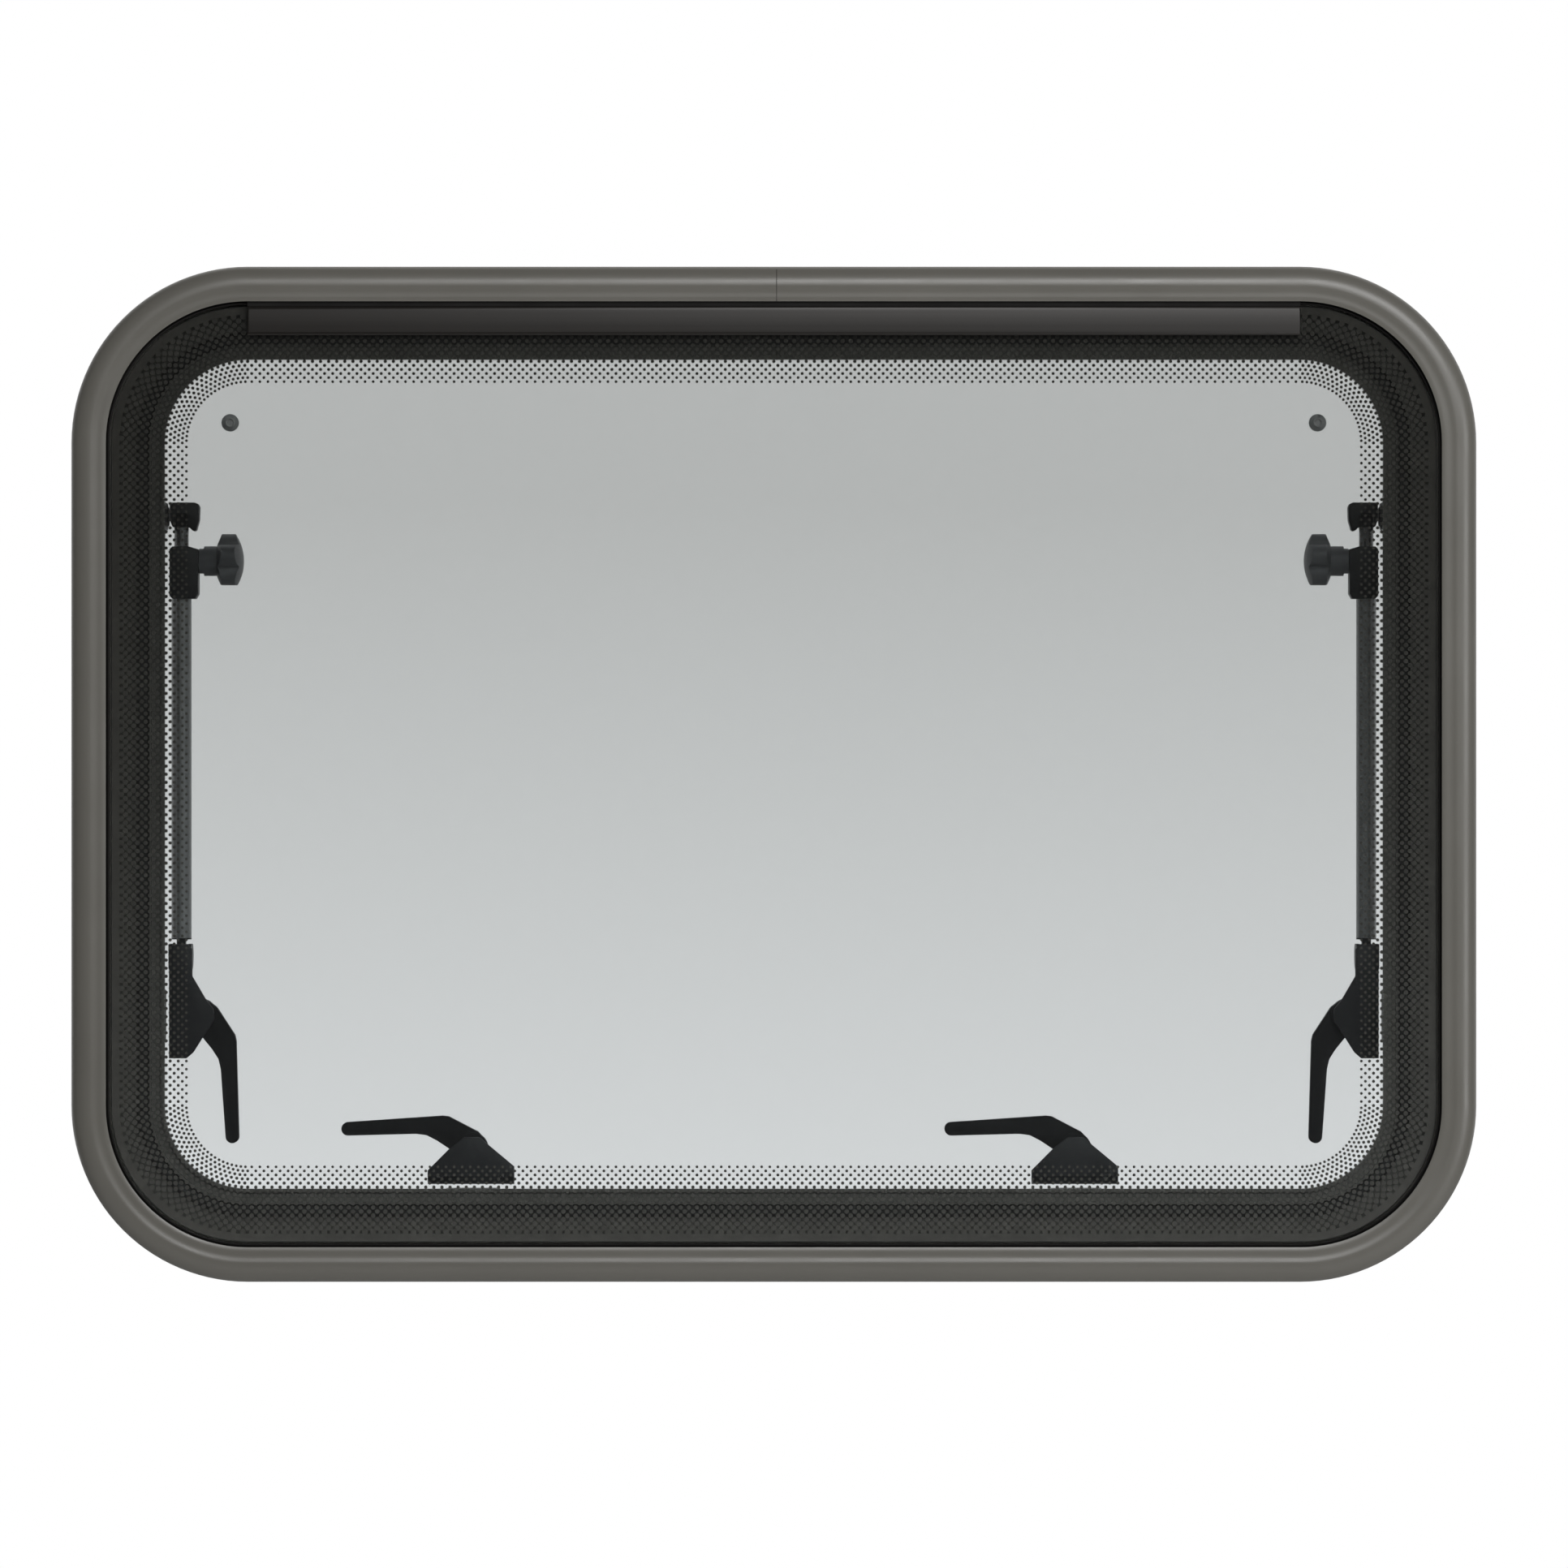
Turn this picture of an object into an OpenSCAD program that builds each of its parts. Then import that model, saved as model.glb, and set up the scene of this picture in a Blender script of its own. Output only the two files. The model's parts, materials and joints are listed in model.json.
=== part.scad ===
// Top-hung caravan window: a bent frame extrusion, a double acrylic sash on a hook hinge,
// two telescopic stays with clamp knobs, and four turn catches.
// X runs to the right seen from outside, Z is up and Y points into the vehicle.
// The origin is the window's centre, on the outer skin of the wall.

/* [Wall] */
// Width of the hole in the wall
cutout_w = 700; // [600:10:1100]
// Height of the hole in the wall
cutout_h = 500; // [450:10:800]
// Corner radius of the hole in the wall
cutout_r = 80; // [70:1:110]
// Thickness of the wall between the outer flange and the clamp frame
wall_t = 30; // [28:1:45]

/* [Outer frame] */
// How far the outer flange laps over the wall round the hole
wall_lap = 10.5; // [9:0.5:16]
// Width of the flange from its outer edge to the lip round the sash
face_w = 18; // [17:0.5:24]
// Wall thickness of the frame extrusion
frame_wall = 1.6; // [1.2:0.1:2]
// Radius of the round flank at the outer edge of the flange
flank_r = 6.5; // [5:0.1:7]
// Depth of the shallow valley between the flank and the hook channel
valley_drop = 1; // [0:0.1:1.5]
// Gap between the neck of the frame and the hole in the wall
neck_gap = 1; // [0.5:0.1:2]
// Depth of the neck behind the outer skin
neck_depth = 22; // [18:1:26]
// Distance from the outer edge of the flange to the see-through edge
landing_edge = 47.5; // [47:0.5:52]
// Depth of the landing's front face behind the outer skin
landing_depth = 9; // [8:0.5:10]
// Thickness of the landing
landing_t = 1.8; // [1.4:0.1:2.4]
// Height of the stiffening rib along the landing's edge
rib_h = 3; // [1:0.5:4]

/* [Hook hinge] */
// Radius of the round bead along the top of the hinge rail
bead_r = 2; // [1.6:0.1:2.2]
// Height of the bead's centre above the outer skin
bead_rise = 3.2; // [3:0.1:3.6]
// Wall thickness of the hook channel
hook_wall = 1.2; // [1:0.1:1.5]
// Angle from straight down to the front end of the hook channel
hook_front = 72; // [70:1:80]
// Angle from straight down to the back end of the hook channel
hook_back = 40; // [36:1:44]
// Height of the hinge rail's plate
rail_h = 14.6; // [10:0.2:20]
// Thickness of the hinge rail's web
rail_web_t = 1.2; // [1:0.1:1.4]
// Thickness of the hinge rail's plate
rail_plate_t = 2.2; // [1.6:0.1:2.6]

/* [Panes] */
// Gap between the lip and the edge of the outer pane
pane_gap = 2.5; // [2.5:0.1:4]
// Thickness of the outer pane
outer_pane_t = 3; // [2.5:0.1:4]
// Thickness of the formed inner pane
inner_pane_t = 2; // [1.5:0.1:2.5]
// Thickness of the bond between the panes
bond_t = 0.3; // [0.2:0.1:0.5]
// Depth of the step of the inner pane
step_depth = 15.3; // [12:0.1:16]
// Distance from the frame's outer edge to the step of the inner pane
step_start = 48.5; // [48:0.5:54]
// Width of the slope of that step
step_run = 3; // [2:0.5:6]
// Diameter of the breather plugs
plug_d = 9; // [7:0.5:12]
// Diameter of the holes for the breather plugs
plug_hole_d = 5; // [4:0.5:6]
// Distance of the breather plugs from the side see-through edges
plug_inset = 33; // [30:1:80]
// Distance of the breather plugs below the top of the hole
plug_drop = 69; // [60:1:90]

/* [Seals] */
// Radius of the bulb seal that the sash closes on
bulb_r = 2.9; // [2.6:0.1:3]
// Wall thickness of the bulb seal
bulb_wall = 1; // [0.6:0.1:1.2]
// Distance from the frame's outer edge to the centre of the bulb
bulb_inset = 36.5; // [35:0.5:39]
// Height of the sealing strip under the outer flange
strip_h = 3.4; // [2:0.1:3.5]

/* [Clamp frame] */
// How far the clamp frame laps over the inner wall round the hole
clamp_lap = 9; // [6:0.5:14]
// Thickness of the clamp frame
clamp_t = 2.5; // [2:0.1:3.5]
// Distance from the outer flange's edge to the clamp frame's inner leg
clamp_leg_inset = 31; // [28:0.5:34]
// Thickness of the clamp frame's legs
clamp_leg_t = 1.8; // [1.4:0.1:2.4]
// Diameter of the clamp screws
screw_d = 3.5; // [3:0.1:4]
// Head diameter of the clamp screws
screw_head_d = 7; // [6:0.2:8]
// Distance from the outer flange's edge to the clamp screws
screw_inset = 20.5; // [18:0.5:23]

/* [Stays] */
// Distance of each stay from the window's centre line, short of the see-through edge
stay_inset = 7; // [7:0.5:14]
// Gap between the inner pane and the clamp knobs
knob_clear = 2; // [1.5:0.1:8]
// Height of the upper pivots above the window's centre
stay_top_z = 133; // [120:1:140]
// Height of the lower pivots, below the window's centre as a positive number
stay_low_z = 94; // [90:1:97]
// Outer diameter of the stay tube
tube_d = 10.4; // [10:0.1:11]
// Wall thickness of the stay tube
tube_wall = 1.1; // [0.8:0.1:1.1]
// Diameter of the stay rod
rod_d = 7.5; // [6.5:0.1:7.6]
// Length of rod inside the tube with the window shut
rod_hidden = 150; // [100:5:155]
// Width of the clamp block across the window
clamp_block_w = 14.8; // [14:0.1:16]
// Distance from the stay's axis to the outer face of the clamp block and rod end
clamp_block_out = 5.8; // [5.4:0.1:6.3]
// Depth of the clamp block into the vehicle
clamp_block_y = 15; // [14:0.5:16]
// Height of the clamp block
clamp_block_h = 27; // [26:1:34]
// Diameter of the clamp knob over its lobes
knob_d = 28; // [22:1:30]
// Thickness of the clamp knob's head
knob_t = 7; // [6:0.5:9]
// Number of lobes on the clamp knob
knob_lobes = 5; // [3:1:8]
// Diameter of the knob's stem
knob_stem_d = 15.4; // [14:0.2:17]
// Diameter of the knob's neck
knob_neck_d = 13; // [9:0.5:13.5]
// Diameter of the pins at the lower pivots
pivot_pin_d = 5; // [4:0.1:6]
// Diameter of the bosses at the upper pivots
peg_d = 10; // [8:0.5:12]

/* [Catches] */
// Distance of the bottom catch pivots from the side see-through edges
catch_side = 157.5; // [100:0.5:200]
// Distance of the bottom catch pivots inside the see-through edge
bottom_catch_inset = 20; // [20:0.5:26]
// Height of the side catch pivots, below the window's centre as a positive number
side_catch_z = 124; // [122:0.5:128]
// Distance of the side catch pivots inside the see-through edge
side_catch_inset = 17.5; // [17.5:0.5:22]
// Angle by which the side catches' grips lean inwards
side_turn = 5.5; // [0:0.5:8]
// Length of the grip from its pivot to its tip
grip_l = 67.5; // [55:0.5:80]
// Width of the grip at its tip
grip_w = 6.9; // [6:0.1:8]
// Width of the grip at its bend
grip_root_w = 12.7; // [11:0.1:14]
// Sideways offset of the grip's outer edge from its pivot
grip_offset = 13.6; // [12:0.1:15]
// Diameter of the catch hub
hub_d = 16.5; // [15:0.5:18]
// Diameter of the pin that the catch turns on
hub_pin_d = 6; // [5:0.1:8]
// Width of the tongue
tongue_w = 11; // [8:0.5:14]
// Gap between the tongue's tip and the see-through edge
tongue_gap = 2.5; // [1.8:0.1:3]
// Width of the keepers along the frame
keeper_w = 26; // [18:1:32]

/* [Hidden] */
$fn = 48;

frame_grey = [0.42, 0.40, 0.37];
plastic_black = [0.10, 0.10, 0.10];
rubber_black = [0.16, 0.16, 0.16];
rail_grey = [0.25, 0.24, 0.22];
acrylic_tint = [0.45, 0.47, 0.48, 0.5];
acrylic_clear = [0.75, 0.77, 0.78, 0.5];
tube_grey = [0.30, 0.30, 0.31];
screw_steel = [0.70, 0.70, 0.70];

// Clearances that every fit below takes its size from
fit_gap = 0.1;
seat_gap = 0.3;

// Outline of the whole window and its corner radius
outer_w = cutout_w + 2 * wall_lap;
outer_h = cutout_h + 2 * wall_lap;
outer_r = cutout_r + wall_lap;

// Frame section, measured inwards from the outer edge
neck_u = wall_lap + neck_gap;
hook_ri = bead_r + fit_gap;
hook_ro = hook_ri + hook_wall;
bead_u = face_w - hook_ro * cos(hook_front);
face_top = bead_rise + hook_ro;
valley_u = (flank_r + bead_u) / 2 + 1;
landing_back = landing_depth + landing_t;

// The see-through opening, as half sizes
see_x = outer_w / 2 - landing_edge;
see_z = outer_h / 2 - landing_edge;

// Depths of the panes behind the outer skin; the outer pane's front stands proud of it
pane_u = face_w + pane_gap;
pane_front = bead_rise - rail_web_t / 2;
pane_back = outer_pane_t - pane_front;
rim_front = pane_back + bond_t;
rim_back = rim_front + inner_pane_t;
field_front = rim_front + step_depth;
field_back = field_front + inner_pane_t;

// Hinge line of the sash
hinge_z = outer_h / 2 - bead_u;
rail_l = outer_w - 2 * outer_r;

// Breather plugs
plug_x = see_x - plug_inset;

// Stays
stay_x = see_x - stay_inset;
stay_depth = field_back + knob_d / 2 + knob_clear;
tube_ri = tube_d / 2 - tube_wall;
rod_end_w = 15.4;
rod_end_above = 7.3;
rod_end_body_h = 12.8;
rod_end_claw_h = 15;
rod_end_y = 11;
block_top = stay_top_z - 15.4;
tube_top = block_top - clamp_block_h;
foot_eye_d = 11;
foot_eye_w = 7;
tube_low = -stay_low_z + 9.5;
ear_t = 2;
knob_z = block_top - 7.5;
knob_neck_l = 2.5;
knob_stem_l = 6.8;
knob_cone_l = 2.4;
knob_dome_h = 4.3;
spindle_d = 3;

// Catches and their bases
catch_x = see_x - catch_side;
keeper_l = 14;
mount_shoulder = 20;
mount_boss_top = 8;
mount_boss_low = -9;
base_t = 3.5;
lever_back_gap = 0.8;
lever_low = field_back + base_t + lever_back_gap;
tongue_t = 4;
lever_t = 8.5;
keeper_top = lever_low - 1.8;
bottom_tongue = bottom_catch_inset - tongue_gap;
side_tongue = side_catch_inset - tongue_gap;
catch_z = -see_z + bottom_catch_inset;
side_hub_x = see_x - side_catch_inset;

// Turns a flat drawing, X right, Y up and height towards the outside, into the window's place
module upright() {
    rotate([90, 0, 0]) children();
}

// A flat plate with round corners
module round_rect(w, h, r) {
    square([w - 2 * r, h], center = true);
    square([w, h - 2 * r], center = true);
    for (x = [-1, 1], y = [-1, 1])
        translate([x * (w / 2 - r), y * (h / 2 - r)]) circle(r);
}

// Sweeps a section round the window; the section's X is 0 on the outer edge and negative inwards
module sweep() {
    for (k = [0 : 3]) {
        run = k % 2 == 0 ? outer_w - 2 * outer_r : outer_h - 2 * outer_r;
        side = k % 2 == 0 ? outer_h / 2 : outer_w / 2;
        rotate(90 * k) {
            translate([-run / 2, side, 0]) rotate([90, 0, 90]) linear_extrude(run) children();
            translate([run / 2, side - outer_r, 0])
                rotate_extrude(angle = 90, $fn = 96) translate([outer_r, 0]) children();
        }
    }
}

// A rectangle of the section, from inset u0 to u1 and from height h0 to h1
module bar(u0, u1, h0, h1) {
    translate([-u1, h0]) square([u1 - u0, h1 - h0]);
}

// Round channel that holds the bead, open downwards and to the front
module hook_channel() {
    cut = 3 * hook_ro;
    difference() {
        circle(hook_ro);
        circle(hook_ri);
        polygon([
            [0, 0],
            [cut * cos(180 - hook_front), cut * sin(180 - hook_front)],
            [-cut, cut],
            [-2 * cut, 0],
            [cut * cos(180 + hook_back), cut * sin(180 + hook_back)]
        ]);
    }
}

module frame_section() {
    shell_in = flank_r - frame_wall;
    valley_h = flank_r - valley_drop;
    // Round flank, and the face from there to the hook channel
    translate([-flank_r, 0]) intersection() {
        difference() {
            circle(flank_r, $fn = 96);
            circle(shell_in, $fn = 96);
        }
        square(flank_r + 1);
    }
    difference() {
        polygon([
            [-flank_r, flank_r], [-valley_u, valley_h], [-bead_u, face_top],
            [-bead_u, bead_rise], [-valley_u, valley_h - frame_wall], [-flank_r, shell_in]
        ]);
        translate([-bead_u, bead_rise]) circle(hook_ri);
    }
    translate([-bead_u, bead_rise]) hook_channel();
    // Neck through the wall, its web to the hook channel, and the landing
    bar(neck_u, neck_u + frame_wall, -neck_depth, valley_h - frame_wall / 2);
    bar(neck_u + frame_wall / 2, bead_u - hook_ri - hook_wall / 2, bead_rise - frame_wall / 2,
        bead_rise + frame_wall / 2);
    bar(neck_u + frame_wall / 2, landing_edge, -landing_back, -landing_depth);
    bar(landing_edge - frame_wall, landing_edge, -landing_depth, rib_h - landing_depth);
    // Ribs that hold the foot of the bulb seal
    for (s = [-1, 1])
        translate([s * (bulb_r + 0.8) - bulb_inset - 0.4, -landing_depth]) square([0.8, 1.4]);
}

// Places its children at each clamp screw, pointing outwards
module at_screws() {
    top_x = rail_l / 2;
    side_y = outer_h / 2 - outer_r;
    for (x = [-1, -1 / 3, 1 / 3, 1], s = [-1, 1])
        translate([x * top_x, s * (outer_h / 2 - screw_inset), 0]) children();
    for (y = [-1, 1], s = [-1, 1])
        translate([s * (outer_w / 2 - screw_inset), y * side_y / 2, 0]) children();
}

module outer_frame() {
    color(frame_grey) upright() difference() {
        sweep() frame_section();
        at_screws() translate([0, 0, -landing_back - 1])
            cylinder(d = screw_d + 2 * fit_gap, h = landing_t + 2);
    }
}

module wall_seal() {
    left = neck_u - seat_gap;
    color(rubber_black) upright() sweep()
        polygon([[-left, 0], [-left, strip_h], [-frame_wall - 2.6, strip_h],
                 [-frame_wall - 1, strip_h / 2], [-frame_wall - 1, 0]]);
}

module sash_seal() {
    foot = bulb_r + 0.8 - 0.4 - seat_gap;
    bulb_h = -rim_back - seat_gap - bulb_r;
    color(rubber_black) upright() sweep() difference() {
        union() {
            translate([-bulb_inset, bulb_h]) circle(bulb_r);
            bar(bulb_inset - foot, bulb_inset + foot, -landing_depth, -landing_depth + 1.2);
            bar(bulb_inset - 1, bulb_inset + 1, -landing_depth, bulb_h);
        }
        translate([-bulb_inset, bulb_h]) circle(bulb_r - bulb_wall);
    }
}

module clamp_frame() {
    edge = wall_lap - clamp_lap;
    leg_in = clamp_leg_inset;
    neck_in = neck_u + frame_wall + 0.5;
    color(plastic_black) upright() difference() {
        sweep() {
            polygon([
                [-edge, -wall_t], [-edge, -wall_t - clamp_t / 2],
                [-edge - 2, -wall_t - clamp_t],
                [-leg_in + 2, -wall_t - clamp_t], [-leg_in, -wall_t - clamp_t / 2],
                [-leg_in, -landing_back - seat_gap], [-leg_in + clamp_leg_t, -landing_back - seat_gap],
                [-leg_in + clamp_leg_t, -wall_t]
            ]);
            bar(neck_in, neck_in + clamp_leg_t, -wall_t - clamp_t / 2, -neck_depth + 6);
        }
        at_screws() translate([0, 0, -wall_t - clamp_t - 1])
            cylinder(d = screw_d + 0.5, h = clamp_t + 2);
    }
}

module clamp_screws() {
    head_back = -wall_t - clamp_t;
    color(screw_steel) upright() at_screws() {
        translate([0, 0, head_back - 2.2]) cylinder(d1 = screw_head_d - 2, d2 = screw_head_d, h = 1.2);
        translate([0, 0, head_back - 1]) cylinder(d = screw_head_d, h = 1);
        translate([0, 0, head_back]) cylinder(d = screw_d, h = wall_t + clamp_t - landing_depth);
    }
}

module outer_pane() {
    r = outer_r - pane_u;
    color(acrylic_tint) upright() translate([0, 0, -pane_back]) linear_extrude(outer_pane_t)
        round_rect(outer_w - 2 * pane_u, outer_h - 2 * pane_u, r, $fn = 96);
}

module inner_pane() {
    top = step_start + step_run;
    inner_edge = top + 4;
    color(acrylic_clear) upright() difference() {
        union() {
            sweep() polygon([
                [-pane_u, -rim_front], [-pane_u, -rim_back], [-step_start, -rim_back],
                [-top, -field_back], [-inner_edge, -field_back], [-inner_edge, -field_front],
                [-top - inner_pane_t, -field_front], [-step_start - inner_pane_t, -rim_front]
            ]);
            translate([0, 0, -field_back]) linear_extrude(inner_pane_t)
                round_rect(outer_w - 2 * inner_edge, outer_h - 2 * inner_edge,
                           outer_r - inner_edge, $fn = 96);
        }
        for (s = [-1, 1])
            translate([s * plug_x, cutout_h / 2 - plug_drop, -field_back - 1])
                cylinder(d = plug_hole_d, h = inner_pane_t + 2);
    }
}

// Rail along the top of the sash, whose bead turns in the frame's hook channel
module hinge_rail() {
    plate_top = outer_h / 2 - pane_u - 0.1;
    plate_front = pane_front + rail_plate_t;
    color(rail_grey) upright() translate([-rail_l / 2, 0, 0]) rotate([90, 0, 90])
        linear_extrude(rail_l) {
            translate([hinge_z, bead_rise]) circle(bead_r);
            translate([plate_top - 2, pane_front]) square([hinge_z - plate_top + 2, rail_web_t]);
            polygon([
                [plate_top, pane_front], [plate_top, plate_front - 0.6], [plate_top - 0.6, plate_front],
                [plate_top - rail_h + 0.6, plate_front], [plate_top - rail_h, plate_front - 0.6],
                [plate_top - rail_h, pane_front]
            ]);
        }
}

// Vent plug through the inner pane
module breather_plug(side) {
    head_t = 1.8;
    color(plastic_black) upright() translate([side * plug_x, cutout_h / 2 - plug_drop, 0]) {
        translate([0, 0, -field_back - head_t]) cylinder(d = plug_d, h = head_t);
        translate([0, 0, -field_back - head_t]) cylinder(d = plug_hole_d - 2 * fit_gap,
                                                         h = head_t + inner_pane_t + 1.5);
        translate([0, 0, -field_front]) cylinder(d1 = plug_hole_d + 1.4, d2 = plug_hole_d - 1, h = 1.5);
    }
}

// Keeper on the landing's back; drawn for a catch whose tongue points down
module keeper(reach) {
    low = -landing_back;
    color(plastic_black) translate([0, -reach - tongue_gap, 0]) difference() {
        translate([-keeper_w / 2, -keeper_l, -keeper_top])
            cube([keeper_w, keeper_l, keeper_top + low]);
        // Ramp that draws the tongue in
        translate([0, 0, -keeper_top]) rotate([90, 0, 0]) translate([0, 0, -1])
            linear_extrude(keeper_l + 2) polygon([
                [-keeper_w / 2 - 1, -1], [-keeper_w / 2 - 1, 3], [-keeper_w / 2 + 8, -1]
            ]);
    }
}

// Turn catch with its grip to the left and its tongue down, on its pivot
module catch_lever(reach) {
    top = grip_offset;
    bend_top = top + 3.3;
    tip_x = grip_w / 2 - grip_l;
    bend_x = -hub_d / 2 - 7;
    low = -lever_low - lever_t;
    color(plastic_black) difference() {
        union() {
            translate([0, 0, low]) cylinder(d = hub_d, h = lever_t);
            // Grip, cranked clear of the hub
            translate([0, 0, low]) linear_extrude(lever_t - 1.5) {
                polygon([
                    [tip_x, top - grip_w], [bend_x * 1.9, top - grip_w + 0.9],
                    [bend_x * 1.55, top - grip_w + 0.2], [bend_x * 1.2, bend_top - grip_root_w],
                    [-hub_d / 2 - 4.2, 0.3], [-4, -5], [hub_d / 2 - 1.2, 4.2], [3.1, 8.6],
                    [bend_x + 3.2, bend_top - 0.4], [bend_x, bend_top], [tip_x, top]
                ]);
                translate([tip_x, top - grip_w / 2]) circle(d = grip_w);
            }
            // Tongue
            translate([0, 0, -lever_low - tongue_t]) linear_extrude(tongue_t)
                polygon([
                    [-tongue_w / 2, 0], [-tongue_w / 2, 2 - reach], [2 - tongue_w / 2, -reach],
                    [tongue_w / 2 - 2, -reach], [tongue_w / 2, 2 - reach], [tongue_w / 2, 0]
                ]);
        }
        translate([0, 0, low - 1]) cylinder(d = hub_pin_d + 2 * fit_gap, h = lever_t + 2);
    }
}

// Pin, head and washer that a catch turns on
module catch_pin() {
    head_t = 1.8;
    washer_gap = seat_gap;
    translate([0, 0, -lever_low - lever_t - washer_gap])
        cylinder(d = hub_pin_d, h = lever_t + washer_gap + lever_back_gap + base_t);
    translate([0, 0, -lever_low - lever_t - washer_gap - head_t]) cylinder(d = hub_pin_d + 4, h = head_t);
    translate([0, 0, -lever_low + washer_gap])
        cylinder(d = hub_pin_d + 5, h = lever_back_gap - washer_gap + base_t);
}

module catch_base() {
    left = -22.8;
    right = 21.8;
    foot = -18;
    color(plastic_black) {
        translate([0, 0, -field_back - base_t]) linear_extrude(base_t) polygon([
            [left, foot], [right, foot], [right, -9], [8, 2.5], [4, 6], [-4, 6], [-11.8, 0],
            [left, -11]
        ]);
        catch_pin();
    }
}

// Base of a side catch and the fork of the stay's foot in one moulding,
// drawn for the right side with the catch pivot at the origin
module side_mount_body() {
    strip_out = side_catch_inset - 1.5;
    strip_in = strip_out - 12;
    low = -22.3;
    fork_x = side_catch_inset - stay_inset;
    fork_y = side_catch_z - stay_low_z;
    ear_r = foot_eye_d / 2 + 1;
    top = fork_y + ear_r;
    color(plastic_black) {
        translate([0, 0, -field_back - base_t]) linear_extrude(base_t)
            polygon([
                [strip_out, low], [strip_out, top - 2.5], [strip_out - 2.5, top], [strip_in + 2.5, top],
                [strip_in, top - 2.5], [strip_in, mount_shoulder], [-3, mount_boss_top], [-7, 3],
                [-7, -3], [-3, mount_boss_low],
                [strip_in - 0.5, low + 3], [strip_in + 3, low]
            ]);
        catch_pin();
        for (s = [-1, 1]) {
            ear_x = fork_x + s * (foot_eye_w / 2 + 0.4 + ear_t / 2) - ear_t / 2;
            translate([ear_x, fork_y, -stay_depth]) rotate([0, 90, 0]) cylinder(r = ear_r, h = ear_t);
            translate([ear_x, fork_y - ear_r, -stay_depth])
                cube([ear_t, 2 * ear_r, stay_depth - field_back - base_t / 2]);
        }
        translate([fork_x - foot_eye_w / 2 - ear_t, fork_y, -stay_depth]) rotate([0, 90, 0])
            cylinder(d = pivot_pin_d, h = foot_eye_w + 2 * ear_t);
    }
}

module side_mount(side) {
    upright() translate([side * side_hub_x, -side_catch_z, 0])
        mirror([side < 0 ? 1 : 0, 0, 0]) side_mount_body();
}

module bottom_catch_place(side) {
    upright() translate([side * catch_x, catch_z, 0]) children();
}

// The side catches' grips hang down and their tongues point to the frame
module side_catch_place(side) {
    upright() translate([side * side_hub_x, -side_catch_z, 0])
        mirror([side < 0 ? 1 : 0, 0, 0]) rotate(90) children();
}

module side_lever(side) {
    side_catch_place(side) rotate(-side_turn) catch_lever(side_tongue);
}

// Everything on a stay is drawn on its axis, in window coordinates
module stay_place(side) {
    translate([side * stay_x, stay_depth, 0]) mirror([side < 0 ? 1 : 0, 0, 0]) children();
}

module stay_tube(side) {
    color(tube_grey) stay_place(side) difference() {
        translate([0, 0, tube_low]) cylinder(d = tube_d, h = tube_top - tube_low);
        translate([0, 0, tube_low - 1]) cylinder(r = tube_ri, h = tube_top - tube_low + 2);
    }
}

module stay_foot(side) {
    plug_l = 14;
    neck_w = 4.6;
    cap_t = 0.8;
    color(plastic_black) stay_place(side) difference() {
        union() {
            translate([0, 0, -stay_low_z]) rotate([0, 90, 0])
                cylinder(d = foot_eye_d, h = foot_eye_w, center = true);
            translate([-neck_w / 2, -foot_eye_w / 2, -stay_low_z])
                cube([neck_w, foot_eye_w, tube_low + stay_low_z]);
            translate([0, 0, tube_low - cap_t]) cylinder(d = tube_d, h = cap_t);
            translate([0, 0, tube_low]) cylinder(r = tube_ri, h = plug_l);
        }
        translate([0, 0, -stay_low_z]) rotate([0, 90, 0])
            cylinder(d = pivot_pin_d + 2 * fit_gap, h = foot_eye_w + 2, center = true);
    }
}

module clamp_block(side) {
    bore = rod_d + 2 * fit_gap;
    out = clamp_block_out;
    in = out - clamp_block_w;
    edge = 1.5;
    slit_w = 1.2;
    color(plastic_black) stay_place(side) difference() {
        translate([0, clamp_block_y / 2, tube_top]) rotate([90, 0, 0]) linear_extrude(clamp_block_y)
            polygon([
                [out - edge, 0], [out, edge], [out, clamp_block_h - edge],
                [out - edge, clamp_block_h], [in + 5, clamp_block_h],
                [in, clamp_block_h - edge], [in, edge + 1], [in + edge, 0]
            ]);
        translate([0, 0, tube_top - 1]) cylinder(d = bore, h = clamp_block_h + 2);
        // Tightening slit between the jaws
        translate([in - 1, -slit_w / 2, tube_top + clamp_block_h / 3]) cube([-in, slit_w, clamp_block_h]);
        // Bore for the knob's spindle
        translate([in - 1, 0, knob_z]) rotate([0, 90, 0]) cylinder(d = spindle_d + 2 * fit_gap, h = 4);
    }
}

module stay_rod(side) {
    rod_low = tube_top - rod_hidden;
    rod_top = stay_top_z + rod_end_above - rod_end_body_h;
    color(tube_grey) stay_place(side) translate([0, 0, rod_low])
        cylinder(d = rod_d, h = rod_top - rod_low);
}

// Hooked end fitting of the rod, open in front of it
module rod_end(side) {
    out = clamp_block_out;
    in = out - rod_end_w;
    slot_w = rod_d - 2;
    color(plastic_black) stay_place(side) translate([0, 0, stay_top_z + rod_end_above]) difference() {
        translate([0, rod_end_y / 2, 0]) rotate([90, 0, 0]) linear_extrude(rod_end_y)
            polygon([
                [out, 0], [in + 2.5, 0], [in + 0.7, -0.8], [in, -2.5], [in + 0.2, -9.2],
                [in + 1.6, 0.8 - rod_end_claw_h], [in + 2.6, -rod_end_claw_h],
                [in + 3.8, 0.6 - rod_end_claw_h], [in + 5.4, -rod_end_body_h],
                [out - 1.5, -rod_end_body_h], [out, -9]
            ]);
        translate([-slot_w / 2, -rod_end_y, -rod_end_body_h - 1])
            cube([slot_w, rod_end_y, rod_end_body_h - rod_end_above + 2]);
    }
}

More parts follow.
